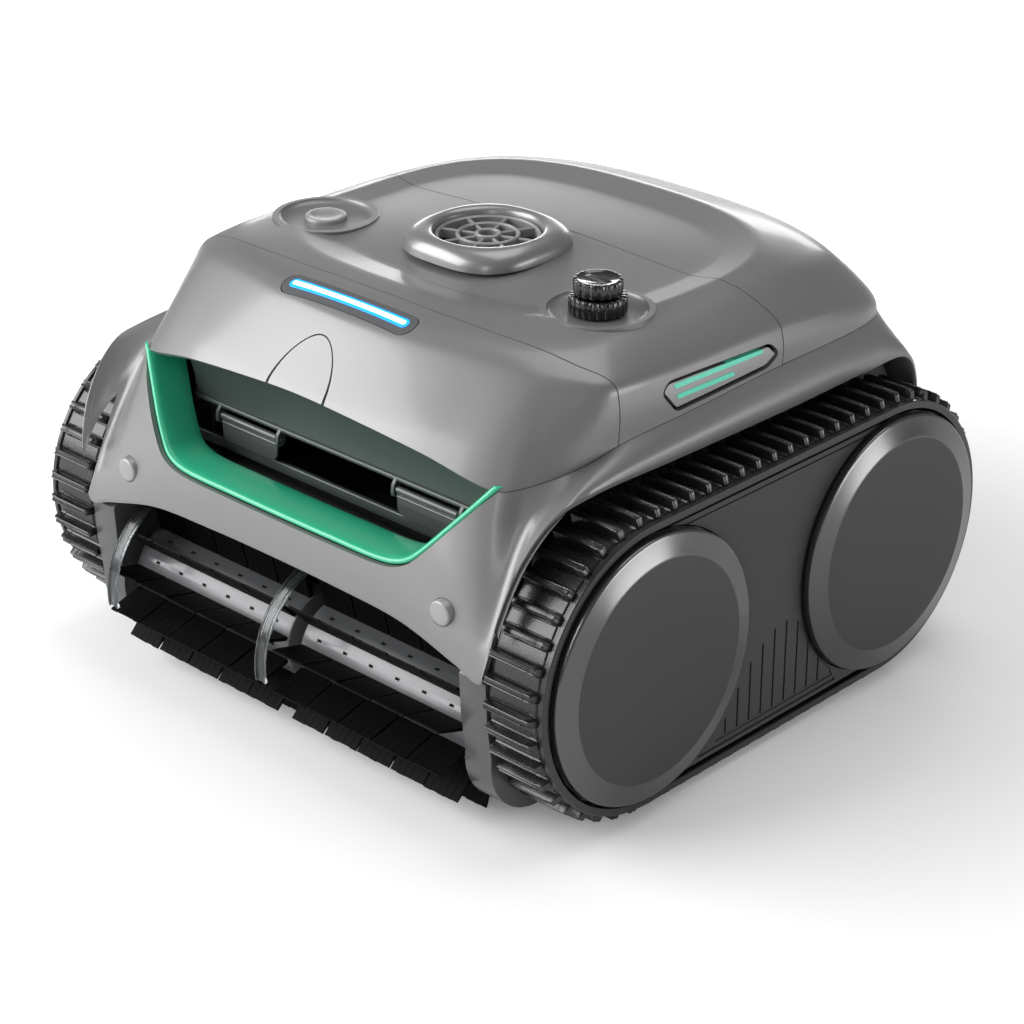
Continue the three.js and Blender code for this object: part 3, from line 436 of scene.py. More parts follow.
def node_material(name, color, rough, metallic=0.0, grain=0.0, scale=900.0, vary=0.04, coat=0.0,
                  emission=None, strength=0.0, transmission=0.0, ior=1.5):
    """A moulded, painted or rubber finish: fine grain in the bump, slow drift in colour and gloss."""
    mat = bpy.data.materials.new(name)
    mat.use_nodes = True
    nodes, links = mat.node_tree.nodes, mat.node_tree.links
    shader = nodes["Principled BSDF"]
    coords = nodes.new("ShaderNodeTexCoord")

    def noise(size, detail):
        node = add_node(nodes, "ShaderNodeTexNoise", Scale=size, Detail=detail)
        links.new(coords.outputs["Object"], node.inputs["Vector"])
        return node.outputs["Fac"]

    ramp = add_node(nodes, "ShaderNodeMapRange", To_Min=1 - vary, To_Max=1 + vary)
    links.new(noise(18.0, 4.0), ramp.inputs["Value"])
    tint = nodes.new("ShaderNodeVectorMath")
    tint.operation = "SCALE"
    tint.inputs[0].default_value = color
    links.new(ramp.outputs["Result"], tint.inputs["Scale"])
    links.new(tint.outputs["Vector"], shader.inputs["Base Color"])
    fine = noise(scale, 3.0)
    low, high = max(rough - ROUGH_VARY, 0.02), rough + ROUGH_VARY
    gloss = add_node(nodes, "ShaderNodeMapRange", To_Min=low, To_Max=high)
    links.new(fine, gloss.inputs["Value"])
    links.new(gloss.outputs["Result"], shader.inputs["Roughness"])
    if grain:
        bump = add_node(nodes, "ShaderNodeBump", Strength=grain, Distance=0.0002)
        links.new(fine, bump.inputs["Height"])
        links.new(bump.outputs["Normal"], shader.inputs["Normal"])
    set_inputs(shader, Metallic=metallic, IOR=ior, Coat_Weight=coat, Coat_Roughness=0.12,
               Transmission_Weight=transmission)
    if emission:
        set_inputs(shader, Emission_Color=(*emission, 1), Emission_Strength=strength)
    mat.diffuse_color = (*color, 1)
    return mat


def srgb(code):
    """Linear colour of a hex code."""
    values = [int(code[i:i + 2], 16) / 255 for i in (0, 2, 4)]
    return tuple(v / 12.92 if v <= 0.04045 else ((v + 0.055) / 1.055) ** 2.4 for v in values)


ROUGH_VARY = 0.05
FINISHES = {      # hex colour, roughness, metallic, grain, scale of the grain, drift of colour, coat
    "shell": ("7e7e7e", 0.4, 0.36, 0.1, 2600, 0.03, 0.25),
    "collar": ("8a8a8a", 0.32, 0.45, 0.1, 2600, 0.03, 0.3),
    "trim": ("9a9a9a", 0.38, 0.3, 0.15, 2200, 0.03, 0),
    "accent": ("2fb68a", 0.32, 0, 0.06, 2400, 0.03, 0.4),
    "mint": ("5cc9ad", 0.35, 0, 0.05, 900, 0.04, 0),
    "light": ("eaf6ff", 0.2, 0, 0, 900, 0.04, 0),
    "light_glow": ("1f8fe8", 0.25, 0, 0, 900, 0.04, 0),
    "lens": ("626365", 0.2, 0.2, 0, 900, 0.02, 0.6),
    "clear": ("8b8f91", 0.16, 0, 0, 900, 0.01, 0),
    "black_gloss": ("0c0c0d", 0.16, 0, 0.04, 900, 0.04, 0.6),
    "dark_plastic": ("1c1d1e", 0.45, 0, 0.3, 1400, 0.04, 0),
    "inner_wall": ("434b48", 0.34, 0.15, 0.15, 1800, 0.04, 0),
    "flap": ("4c504e", 0.3, 0.15, 0.1, 1800, 0.03, 0.2),
    "skirt": ("383838", 0.48, 0.2, 0.3, 1800, 0.04, 0),
    "rubber": ("1c1c1d", 0.28, 0, 0.35, 1300, 0.08, 0.15),
    "tread": ("4a4b4c", 0.3, 0.1, 0.2, 1500, 0.06, 0.2),
    "bristle": ("09090a", 0.6, 0, 0.2, 1600, 0.08, 0),
    "brush_core": ("606163", 0.34, 0.2, 0.08, 1800, 0.04, 0.3),
    "bearing": ("505152", 0.3, 0.2, 0.1, 1800, 0.03, 0.2),
    "disc": ("3a3a3a", 0.5, 0.25, 0.35, 2400, 0.03, 0),
    "disc_rim": ("606060", 0.2, 0.85, 0.06, 2400, 0.04, 0.2),
    "metal": ("b4b7ba", 0.28, 1, 0.15, 1500, 0.04, 0),
    "gear": ("c9c4b4", 0.45, 0, 0.25, 1400, 0.04, 0),
    "battery": ("2e4a6b", 0.4, 0, 0.2, 1600, 0.04, 0),
}
GLOW_AND_GLASS = {
    # the mint side stripes are no lamp: their faint emission is a painted glow that brightens them under any
    # light
    "mint": dict(emission=srgb("4fc3a5"), strength=0.25),
    "light": dict(emission=srgb("bfe4ff"), strength=3.0),
    "light_glow": dict(emission=srgb("0a84ff"), strength=1.6),
    "clear": dict(transmission=0.92, ior=1.45),
    "bristle": dict(ior=1.16),
}
M = {name: node_material(name, srgb(code), *values, **GLOW_AND_GLASS.get(name, {}))
     for name, (code, *values) in FINISHES.items()}


def finish(obj, name, body, material, nodes=(), angle=35):
    obj.name = name
    obj.data.name = name
    if material:
        obj.data.materials.clear()
        obj.data.materials.append(M[material])
    smooth(obj, angle)
    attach(obj, body)
    if nodes:
        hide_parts(*nodes)
    return obj


def finish_sides(*rows, angle=35):
    """Finishes right-hand pieces and their mirror images; {} in a name stands for the side."""
    right = [row[0] for row in rows]
    left = [flip_x(copy_of(obj, "left")) for obj in right]
    for side, objs in (("right", right), ("left", left)):
        for obj, (_, name, body, material, slot, *nodes) in zip(objs, rows):
            nodes = [node.format(side) for node in nodes]
            finish(obj, name.format(side), body.format(side), material, nodes, angle)


# ---- hood

LATCH_FOOT, LATCH_SPRING, LATCH_TOP, LATCH_HALF = 190.0, 206.0, 232.0, 21.0
LIGHT_Y = -126.7
DISH_X, DISH_Y, DISH_R, DISH_FLOOR = 106.0, -45.0, 28.5, 246.0
DISH = (DISH_X, DISH_Y)
OUTLET_Y, OUTLET_R, OUTLET_SEAT = -19.4, 30.5, 251.0
OUTLET = (0, OUTLET_Y)
LID = (184.5, 201.0)     # the hood's hinge line


def latch_outline(grow=0.0, steps=40):
    """Finger tab seen from the front: an arch whose joint widens towards its feet."""
    foot = [(LATCH_HALF + grow * 3.2, LATCH_FOOT), (LATCH_HALF + grow * 3.0, LATCH_SPRING - 3)]
    out = list(foot)
    for t in (math.pi * i / steps for i in range(steps + 1)):
        along, up = math.cos(t), math.sin(t)
        wide = grow * (1 + 1.8 * (1 - up) ** 2)
        out.append(((LATCH_HALF + wide) * along * (1 - 0.16 * up ** 2),
                    LATCH_SPRING + (LATCH_TOP + wide - LATCH_SPRING) * up))
    return out + [(-x, z) for x, z in reversed(foot)]


def trim_outline(grow, radius):
    """The recessed plate on the hood's side as (y, z) pairs, with rounded corners."""
    corners = np.array([(-44, 205.5), (30, 208), (39, 213), (32, 220), (-50, 222.5), (-55, 218)], float)
    out = []
    for i, p in enumerate(corners):
        a, b = corners[i - 1], corners[(i + 1) % len(corners)]
        to_a, to_b = np.linalg.norm(a - p), np.linalg.norm(b - p)
        r = min(radius, to_a * 0.4, to_b * 0.4)
        for t in np.linspace(0, 1, 7):
            out.append((1 - t) ** 2 * (p + (a - p) / to_a * r) + 2 * t * (1 - t) * p
                       + t * t * (p + (b - p) / to_b * r))
    out = np.array(out)
    edge = np.roll(out, -1, 0) - np.roll(out, 1, 0)
    normal = np.stack([edge[:, 1], -edge[:, 0]], 1)
    normal /= np.maximum(np.linalg.norm(normal, axis=1), 1e-9)[:, None]
    normal *= np.sign((normal * (out - corners.mean(0))).sum(1))[:, None]
    return [tuple(p) for p in out + normal * grow]


def dish_cutter(x):
    rise = [(0, -5), (0.3, -3.4), (1.1, -2), (2.4, -1), (4, -0.4), (6, 0.4)]
    profile = [(DISH_FLOOR, AXIS)] + [(DISH_FLOOR + up, DISH_R + out) for up, out in rise]
    return lathe("dish", profile + [(270, DISH_R + 2), (270, AXIS)], (x, DISH_Y, 0), "Z")


def hinge_knuckles(x0, x1, web_from, web_to):
    """The barrels on the hood's hinge line, on both sides, with the webs that carry them."""
    y, z = LID
    web = [(174, z + web_from), (y, z + web_from), (y + 2, z + web_to), (174, z + web_to + 2)]
    out = []
    for a, b in ((x0, x1), (-x1, -x0)):
        out += [rod("knuckle", "X", 5, a, b, LID, 40, 0.5), prism("web", web, "X", a, b)]
    return out


def hinge_bore():
    return rod("pin", "X", 2.75, -120, 120, LID, 24, 0.01)


def build_hood():
    """The nose, the top, the rear and the pieces cut from them: finger tab, lens and side plate."""
    hood = hood_solid()

    def area(line):
        return prism("area", line, "Z", 100, 300)

    def through_nose(outline):
        return prism("tab", outline, "Y", -200, -120)

    def light(half, grow, low):
        return prism("light", pill(half, 3.6, LIGHT_Y, grow), "Z", low, 262)

    def well(radius, low, at, steps=64, edge=0.01):
        return rod("well", "Z", radius, low, 290, at, steps, edge)

    def side_pocket(grow, radius):
        return prism("pocket", trim_outline(grow, radius), "X", 140, 190)

    nose = common(copy_of(hood, "nose"), area(joint_line(front_joint, -GAP) + [(FAR, -FAR), (-FAR, -FAR)]))
    rear = common(copy_of(hood, "rear"), area(joint_line(rear_joint, GAP) + [(FAR, FAR), (-FAR, FAR)]))
    for x in (-DISH_X, DISH_X):
        join(hood, rod("cup", "Z", DISH_R + 2.5, DISH_FLOOR - 3, 248.6, (x, DISH_Y), 72))
    common(hood, area(joint_line(front_joint, GAP) + joint_line(rear_joint, -GAP)[::-1]))

    tab = common(copy_of(nose, "tab"), through_nose(latch_outline()))
    cut(nose, through_nose(latch_outline(0.7)))
    lens = common(copy_of(nose, "lens"), light(47, 3.3, 230))
    cut(lens, light(44.5, -1.2, 246.2))
    cut(nose, light(47, 3.9, 230))

    cut(hood, dish_cutter(-DISH_X), dish_cutter(DISH_X),
        well(OUTLET_R + 1, 200, OUTLET, 96, 0), well(OUTLET_R + 14, OUTLET_SEAT, OUTLET, 96),
        well(12.35, 200, (-DISH_X, DISH_Y)), well(9.4, 200, DISH))

    plate = common(copy_of(hood, "plate"), side_pocket(-1.2, 2.4))
    pocket = side_pocket(1.1, 3.6)
    cut(hood, pocket, flip_x(copy_of(pocket, "pocket")))
    move_x(plate, -0.9)
    return nose, hood, rear, tab, lens, plate


def move_x(obj, distance):
    for v in obj.data.vertices:
        v.co.x += distance * MM
    return obj


nose, top, rear, tab, lens, plate = build_hood()
join(rear, *hinge_knuckles(44, 59, 0.2, 4))
cut(rear, hinge_bore())
for obj, name, body, node in ((nose, "shell_nose", "hood", "nose_cover"),
                              (top, "shell_top", "hood", "top_cover"),
                              (rear, "shell_rear", "hood", "rear_cover"),
                              (tab, "finger_tab", "latch", "latch_tab")):
    finish(obj, name, body, "shell", [node])
finish(lens, "light_lens", "hood", "lens", ["light_bar"])


def light_strip(name, half, radius, lift, material, probe):
    """A glowing pill in the lens that follows the curve of the roof, read off the probe."""
    front, back, rows, across = LIGHT_Y - 3.8, LIGHT_Y + 4.2, 61, 7

    def roof_height(x, y):
        hit, place, _, _ = probe.ray_cast(Vector((x * MM, (y + SHIFT) * MM, 1)), Vector((0, 0, -1)))
        return place.z / MM if hit else 250.0

    def height(x, y):
        low, high = roof_height(x, front), roof_height(x, back)
        return low + (high - low) * (y - front) / (back - front) + 0.6 + lift

    reach = max(x for x, _ in pill(half, radius, LIGHT_Y, 0, 16))
    verts = []
    for x in reach * np.sin(np.linspace(-math.pi / 2, math.pi / 2, rows)):
        end = max(abs(x) - (reach - radius), 0)
        wide = math.sqrt(max(radius ** 2 - end ** 2, 0.0004))
        upper = [(x, y, height(x, y)) for y in LIGHT_Y + wide * np.linspace(-1, 1, across)]
        verts += upper + [(x, y, z - 2) for x, y, z in reversed(upper)]
    obj = solid(name, verts, bar_faces(rows, 2 * across))
    finish(obj, "light_" + name, "hood", material)


probe = copy_of(lens, "probe")
light_strip("glow", 45.6, 3.0, 0.0, "light_glow", probe)
light_strip("core", 43.6, 1.35, 0.22, "light", probe)
bpy.data.objects.remove(probe)


def plate_stripe(z0, z1, y0, y1):
    """A stripe raised on the side plate, from (y0, z0) at its rear to (y1, z1) at its front."""
    half = 1.35
    outline = [(y0, z0 - half), (y1 + 1.5, z1 - half), (y1, z1 + half), (y0 - 1.5, z0 + half)]
    return common(move_x(copy_of(plate, "stripe"), 0.35), prism("stripe", outline, "X", 140, 190))


finish_sides((copy_of(plate, "plate"), "side_plate_{}", "hood", "trim", "trim", "side_trim_{}"),
             (plate_stripe(218.2, 219.0, 27, -46), "side_stripe_1_{}", "hood", "mint", "accent"),
             (plate_stripe(212.3, 212.7, 3, -44), "side_stripe_2_{}", "hood", "mint", "accent"))
bpy.data.objects.remove(plate)

# ---- outlet


def square_ring(radius, z, squareness, steps=144):
    t = np.arange(steps) * 2 * np.pi / steps
    s, c = np.sin(t), np.cos(t)
    power = 2 + squareness
    r = radius * (np.abs(s) ** power + np.abs(c) ** power) ** (-1 / power)
    return np.stack([r * s, OUTLET_Y + r * c, np.full(steps, float(z))], 1)


def outlet_bezel():
    """The collar: how far each row is out from the bore, how high, and how square."""
    base = OUTLET_SEAT + GAP
    rows = [(12.4, -1.2, 0.9), (12.3, 0.4, 0.9), (12, 2.4, 0.9), (11.2, 4.6, 0.8), (9.9, 6.6, 0.7),
            (8.2, 8.3, 0.55), (6.2, 9.3, 0.4), (4.4, 9.65, 0.2), (2.8, 9.5, 0.1), (1.6, 8.9, 0),
            (0.8, 7.9, 0), (0.3, 6.6, 0), (0.1, 4, 0), (0, 0, 0)]
    obj = grid_solid("bezel", [square_ring(OUTLET_R + out, base + up, q) for out, up, q in rows])
    return finish(obj, "outlet_collar", "hood", "collar", ["outlet_bezel"], 50)


def outlet_grille():
    base, high = OUTLET_SEAT - 1.5, 7.5
    pieces = []
    for outer, inner, crown in ((OUTLET_R - GAP, OUTLET_R - 2.6, 0), (18.2, 16.0, 0.3), (7.6, 5.2, 0.5)):
        top = base + high + crown
        profile = [(base, inner), (base, outer), (top - 0.7, outer), (top, outer - 0.7),
                   (top, inner + 0.7), (top - 0.7, inner)]
        pieces.append(lathe("grille", profile, (*OUTLET, 0), "Z"))
    section = [(-1.0, -2.8), (1.0, -2.8), (1.0, 2.2), (0.5, 2.8), (-0.5, 2.8), (-1.0, 2.2)]
    for i in range(8):
        turn = math.radians(22.5 + 45 * i)
        path = [(*on_circle(OUTLET, r, turn), base + high * 0.55) for r in np.linspace(6.4, OUTLET_R - 1.5, 4)]
        pieces.append(swept("spoke", path, section, (-math.sin(turn), math.cos(turn), 0)))
    obj = join(*pieces)
    return finish(obj, "outlet_guard", "hood", "trim", ["outlet_grille"])


outlet_bezel()
outlet_grille()

# ---- charging cap and button


def ribbed(name, z0, z1, radius, inner, ribs, depth, edge, steps_per_rib=6):
    """A ring or cap with upright ribs: rows of loops whose radius waves round the axis."""
    count = ribs * steps_per_rib
    t = np.arange(count) * 2 * np.pi / count
    wave = np.clip(np.cos(t * ribs) * 1.6, -1, 1) * 0.5 - 0.5

    def loop(r, z, share):
        r = r + wave * depth * share
        return np.stack([DISH_X + r * np.cos(t), DISH_Y + r * np.sin(t), np.full(count, float(z))], 1)

    soft = edge * 0.3
    rows = [loop(radius - edge, z0, 0.6), loop(radius - soft, z0 + soft, 1), loop(radius, z0 + edge, 1),
            loop(radius, z1 - edge, 1), loop(radius - soft, z1 - soft, 1), loop(radius - edge, z1, 0.5)]
    if inner:
        return grid_solid(name, rows + [loop(inner, z1, 0), loop(inner, z0, 0)])
    sunk = z1 - 0.5
    rows += [loop(radius - edge - 1.2, z1, 0), loop(radius - edge - 1.8, sunk, 0), loop(4, sunk, 0)]
    return grid_solid(name, rows, np.array([*DISH, z0]), np.array([*DISH, sunk]))


def build_cap():
    grip = ribbed("ring", DISH_FLOOR + GAP, DISH_FLOOR + 10.2, 16, 9.35, 24, 1.0, 1.1)
    finish(grip, "cap_grip_ring", "cap_ring", "black_gloss", ["charging_cap_ring"], 40)
    head = ribbed("head", DISH_FLOOR + 10.6, 265.4, 13.4, 0, 18, 0.9, 1.0)
    arch = [(DISH_X + 10.5 * math.cos(t), DISH_Y - 0.5, 262.6 + 2.4 * math.sin(t) ** 0.6)
            for t in np.linspace(0.02, math.pi - 0.02, 16)]
    join(head, rod("plug", "Z", 5.8, DISH_FLOOR - 6, DISH_FLOOR + 12, DISH, 48, 1),
         swept("loop", arch, [(-1.6, -0.5), (1.6, -0.5), (1.6, 0.4), (-1.6, 0.4)], (0, 1, 0)))
    finish(head, "cap_head", "cap", "black_gloss", ["charging_cap"], 40)
    profile = [(-14, 6.5), (-14, 9), (-7, 9), (-7, 13), (-3.35, 13), (-3.35, 9), (5.4, 9), (6, 8.4), (6, 6.9),
               (5.6, 6.5)]
    socket = lathe("socket", [(DISH_FLOOR + up, r) for up, r in profile], (*DISH, 0), "Z", 72)
    finish(socket, "charging_port", "hood", "black_gloss", ["charging_socket"])


def build_button():
    profile = [(-10, AXIS), (-10, 4), (-2, 4), (-2, 12), (1.6, 12), (2.1, 11.8), (2.5, 11.2), (2.5, 9.2),
               (2.1, 8.6), (1.7, 7), (1.45, 4), (1.4, AXIS)]
    obj = lathe("button", [(DISH_FLOOR + up, r) for up, r in profile], (-DISH_X, DISH_Y, 0), "Z")
    finish(obj, "round_button", "button", "trim", ["power_button"], 40)


build_cap()
build_button()

# ---- lower body

FACE = [(60, -189), (100, -189), (117, -187.4), (138, -179.5), (160, -170), (175, -162.5), (190, -155),
        (200, -150)]     # (z, y) down the middle of the front
MOUTH_HALF = [(141.6, 193), (124, 171.5), (104, 148.5), (97, 142.5), (89, 139.2), (78, 137.4), (40, 136.75),
              (0, 136.6)]
SCREW_X, SCREW_Z = 126, 126
BELT_R, WHEELBASE = 82.0, 2 * AXLE_Y
BEND = math.pi * BELT_R
TRACK_LENGTH = 2 * (BEND + WHEELBASE)


def mouth_line(grow=0.0):
    """The edge of the mouth as (x, z) pairs, and the normals that point into the opening."""
    half = spline([(x, z, 0) for x, z in MOUTH_HALF], 8)[:, :2]
    line = np.concatenate([half, half[-2::-1] * (-1, 1)])
    d = np.gradient(line, axis=0)
    normal = np.stack([d[:, 1], -d[:, 0]], 1)
    normal /= np.linalg.norm(normal, axis=1)[:, None]
    if normal[len(normal) // 2, 1] > 0:
        normal = -normal
    return line + normal * grow, -normal


def track_line(distance, height):
    """The (y, z) point at a distance along the belt and a height over it."""
    s, radius = distance % TRACK_LENGTH, BELT_R + height
    if s < WHEELBASE:
        return (-AXLE_Y + s, AXLE_Z + radius)
    if s < WHEELBASE + BEND:
        t = (s - WHEELBASE) / BELT_R
        return (AXLE_Y + radius * math.sin(t), AXLE_Z + radius * math.cos(t))
    if s < 2 * WHEELBASE + BEND:
        return (AXLE_Y - (s - WHEELBASE - BEND), AXLE_Z - radius)
    t = (s - 2 * WHEELBASE - BEND) / BELT_R
    return (-AXLE_Y - radius * math.sin(t), AXLE_Z - radius * math.cos(t))


def build_body():
    top_loop = R_lower - (0, 0, GAP)
    loops = [top_loop, between(top_loop, R_lip, 0.33, 2.2), between(top_loop, R_lip, 0.66, 2.6), R_lip]
    rows = rounded(loops, [(0.48, 0.48), (0.48, 0.45)], 9)
    out = outwards(R_lip)
    edge = [R_lip + (0, 0, -0.7) - out * 0.1, R_lip + (0, 0, -2.4) - out * 0.3]
    obj = grid_solid("body", [*rows, *edge, edge[-1] - out * 2.6, *offset_rows(rows, 3.0)[::-1]])
    line, _ = mouth_line(GAP)
    cut(obj, prism("mouth", [tuple(p) for p in line] + [(-141, 230), (141, 230)], "Y", -215, -120))
    for x in (-SCREW_X, SCREW_X):
        cut(obj, rod("screw", "Y", 7.35, -200, -170, (x, SCREW_Z), 48, 0.01))
    envelope = [track_line(TRACK_LENGTH * i / 200, 9.0) for i in range(200)]
    for a, b in ((159.2, 240), (-240, -159.2)):
        cut(obj, prism("track", envelope, "X", a, b))
    join(obj, *hinge_knuckles(60, 75, -4.8, -2))
    cut(obj, hinge_bore())
    return finish(obj, "front_frame_and_fenders", "root", "shell", ["body_frame"])


def build_mouth_rim():
    section = [(0, -0.5), (0.15, -1.2), (0.6, -1.8), (1.3, -2.1), (2.1, -1.95), (2.8, -1.4), (3.3, -0.5),
               (3.6, 1.2), (3.8, 4), (3.9, 10), (3.8, 17), (3.4, 23), (3.0, 23.9), (2.3, 24.2), (1.1, 24.2),
               (0.5, 23.8), (0.4, 12), (0.2, 4)]
    line, inward = mouth_line()
    verts = []
    for (x, z), (nx, nz) in zip(line, inward):
        y = np.interp(z, *zip(*FACE))
        verts += [(x + nx * off, y + depth, z + nz * off) for off, depth in section]
    obj = solid("rim", verts, bar_faces(len(line), len(section)))
    edge = R_lower - (0, 0, GAP)
    high = edge.copy()
    high[:, 2] = 320
    cut(obj, grid_solid("above", [edge, high], np.array([0, HOOD_Y, 215.0]), np.array([0, HOOD_Y, 320.0])))
    tips = max(v.co.z for v in obj.data.vertices) / MM
    cut(obj, block("tips", -200, 200, -300, 300, tips - 3.2, tips + 20))
    return finish(obj, "mouth_rim", "root", "accent", ["mouth_bezel"], 50)


def build_screw_caps():
    profile = [(-186.4, AXIS), (-186.4, 5.2), (-186.2, 6.2), (-185.8, 6.8), (-185.4, 7), (-176.4, 7),
               (-176, 6.6), (-176, AXIS)]
    for side, x in (("right", SCREW_X), ("left", -SCREW_X)):
        obj = lathe("cap", profile, (x, 0, SCREW_Z), "Y", 64)
        finish(obj, "screw_cover_" + side, "root", "trim", ["screw_cap_" + side], 40)


build_body()
build_mouth_rim()
build_screw_caps()

# ---- mouth interior and basket

CHAMBER_X, CHAMBER_FRONT, CHAMBER_BACK = 122, -133, 36
CHAMBER_FLOOR, CHAMBER_WALL, CHAMBER_TOP = 106.4, 2.5, 186
FLAP_PIN = (-139, 155)


def round_rect(x0, x1, y0, y1, r, steps=8):
    corners = ((x1 - r, y1 - r, 0), (x0 + r, y1 - r, 90), (x0 + r, y0 + r, 180), (x1 - r, y0 + r, 270))
    return [on_circle((x, y), r, math.radians(a + 90 * i / steps))
            for x, y, a in corners for i in range(steps + 1)]


def curve_sheet(points, thickness, per=6):
    """Closed outline of a bent sheet: the smooth line through the points and its offset."""
    line = spline([(a, b, 0) for a, b in points], per)[:, :2]
    d = np.gradient(line, axis=0)
    normal = np.stack([-d[:, 1], d[:, 0]], 1) / np.linalg.norm(d, axis=1)[:, None]
    return [tuple(p) for p in line] + [tuple(p) for p in (line + normal * thickness)[::-1]]


def build_chamber():
    x, w, front, back, floor = CHAMBER_X, CHAMBER_WALL, CHAMBER_FRONT, CHAMBER_BACK, CHAMBER_FLOOR
    tub = prism("tub", round_rect(-x - w, x + w, front - w, back + w, 4), "Z", floor, CHAMBER_TOP)
    cut(tub, prism("inside", round_rect(-x, x, front, back, 2.5), "Z", floor + w, CHAMBER_TOP + 10),
        prism("mouth", round_rect(-x, x, 128, 158, 5), "Y", front - w - 5, front + 10),
        rod("duct", "Z", 35.85, floor - 5, floor + 10, OUTLET, 72, 0.01),
        block("intake", -60, 60, front + 15, front + 35, floor - 5, floor + 10))
    for a, b in ((-145.65, -x - w + 0.5), (x + w - 0.5, 145.65)):
        join(tub, block("ledge", a, b, front + 10, back - 5, 150, 153))
    finish(tub, "basket_chamber", "root", "dark_plastic", ["filter_chamber"], 30)

    wall_line = [(-147.6, 197.2), (-143.6, 189), (-140.4, 180), (-138.4, 172), (-137.3, 165), (-136.9, 160.8)]
    bead = arc((-137.4, 160.4), 1.5, 0, TURN, 20, endpoint=False)
    wall = join(prism("wall", curve_sheet(wall_line, 2.4), "X", -118, 118),
                prism("bead", bead, "X", -117.6, 117.6),
                block("shelf", -118, 118, -137, front, 158.2, 161))
    finish(wall, "mouth_inner_wall", "root", "inner_wall", angle=30)

    bar = [(-136.4, 132.4), (-136.4, 138), (-135.8, 138.6), (-133.8, 138.6), (-133.2, 138), (-133.2, 132.4)]
    rail = bevel(prism("rail", bar, "X", -x, x), 0.4)
    finish(rail, "mouth_cross_bar", "root", "inner_wall")
    lip = [(front - 1, 128.2), (-143, 131.8), (-150, 135.6), (-153.2, 137.0), (-153.6, 136.2), (-153.4, 134.4),
           (-144, 129.6), (front - 1, 125.9)]
    sill = bevel(prism("sill", lip, "X", -100, 100), 0.4)
    finish(sill, "mouth_sill", "root", "dark_plastic")
    outline = [(-141.6, 152.6), (-141.0, 150.9), (-138.6, 150.6), (-136.2, 151.4), (-135.5, 153), (-135.5, 161),
               (-138.6, 161), (-141.0, 157.6)]
    for number, at in enumerate((-98, -47.4, 45.2, 95.8), 1):
        ear = cut(prism("ear", outline, "X", at, at + 2.2),
                  rod("eye", "X", 1.5, at - 1, at + 4, FLAP_PIN, 24, 0.01))
        finish(bevel(ear, 0.25), f"flap_bracket_{number}", "root", "inner_wall")


def build_flaps():
    inner, outer, low, high, r = 48.0, 94.4, 140.0, 155, 6
    outline = [(inner, high), (inner, low + r)]
    outline += [(inner + r - r * math.cos(t), low + r - r * math.sin(t))
                for t in np.linspace(0.1, math.pi / 2, 8)]
    outline += [(outer - 2, low), (outer, low + 2), (outer, high)]
    flap = join(bevel(prism("flap", outline, "Y", -139.8, -138.2), 0.5, 3),
                rod("bead", "X", 2.0, inner, outer, FLAP_PIN, 32, 0.5),
                rod("ridge", "X", 0.9, inner + 0.5, outer - 0.5, (-139.7, 151.3), 20, 0.2),
                rod("pin", "X", 1.15, 44.4, 98.6, FLAP_PIN, 20, 0.2))
    finish_sides((flap, "intake_flap_{}", "flap_{}", "flap", "trim", "mouth_flap_{}"))


def build_basket():
    play, wall, top = 3, 2, 218
    x, front, back = CHAMBER_X - play, CHAMBER_FRONT + play, CHAMBER_BACK - play
    floor = CHAMBER_FLOOR + CHAMBER_WALL + GAP
    pitch, hole_wide, hole_high = 11.4, 8, 7.5
    inside = round_rect(-x + wall, x - wall, front + wall, back - wall, 3)
    basket = prism("basket", round_rect(-x, x, front, back, 5), "Z", floor, top)
    cut(basket, prism("inside", inside, "Z", floor + wall, top + 5),
        prism("mouth", round_rect(-x + 6, x - 6, 128, 154, 4), "Y", front - 5, front + 5))
    join(basket, rod("collar", "Z", 40, floor, floor + 12, OUTLET, 72, 1))
    cut(basket, rod("collar", "Z", 38, floor - 5, top, OUTLET, 72, 0.01))
    windows = []
    for axis, start, columns, a, b in (("X", front + 10, 13, -x - 5, x + 5),
                                       ("Y", -x + 12, 19, back - 5, back + 5)):
        for z in (floor + 12 + 11 * row for row in range(8)):
            for left in (start + column * pitch for column in range(columns)):
                outline = round_rect(left, left + hole_wide, z, z + hole_high, 2, 3)
                windows.append(prism("window", outline, axis, a, b))
    cut(basket, merged(windows))
    rim = prism("rim", round_rect(-x - 0.8, x + 0.8, front - 0.8, back + 0.8, 5.5), "Z", top - 3.4, top)
    cut(rim, prism("inside", inside, "Z", top - 8, top + 5))
    join(basket, bevel(rim, 0.5))
    finish(basket, "leaf_basket", "root", "dark_plastic", ["filter_basket"], 30)


build_chamber()
build_flaps()
build_basket()

# ---- tracks and wheels

LUGS, LUG_HALF, BELT_STEPS = 68, 3.1, 272


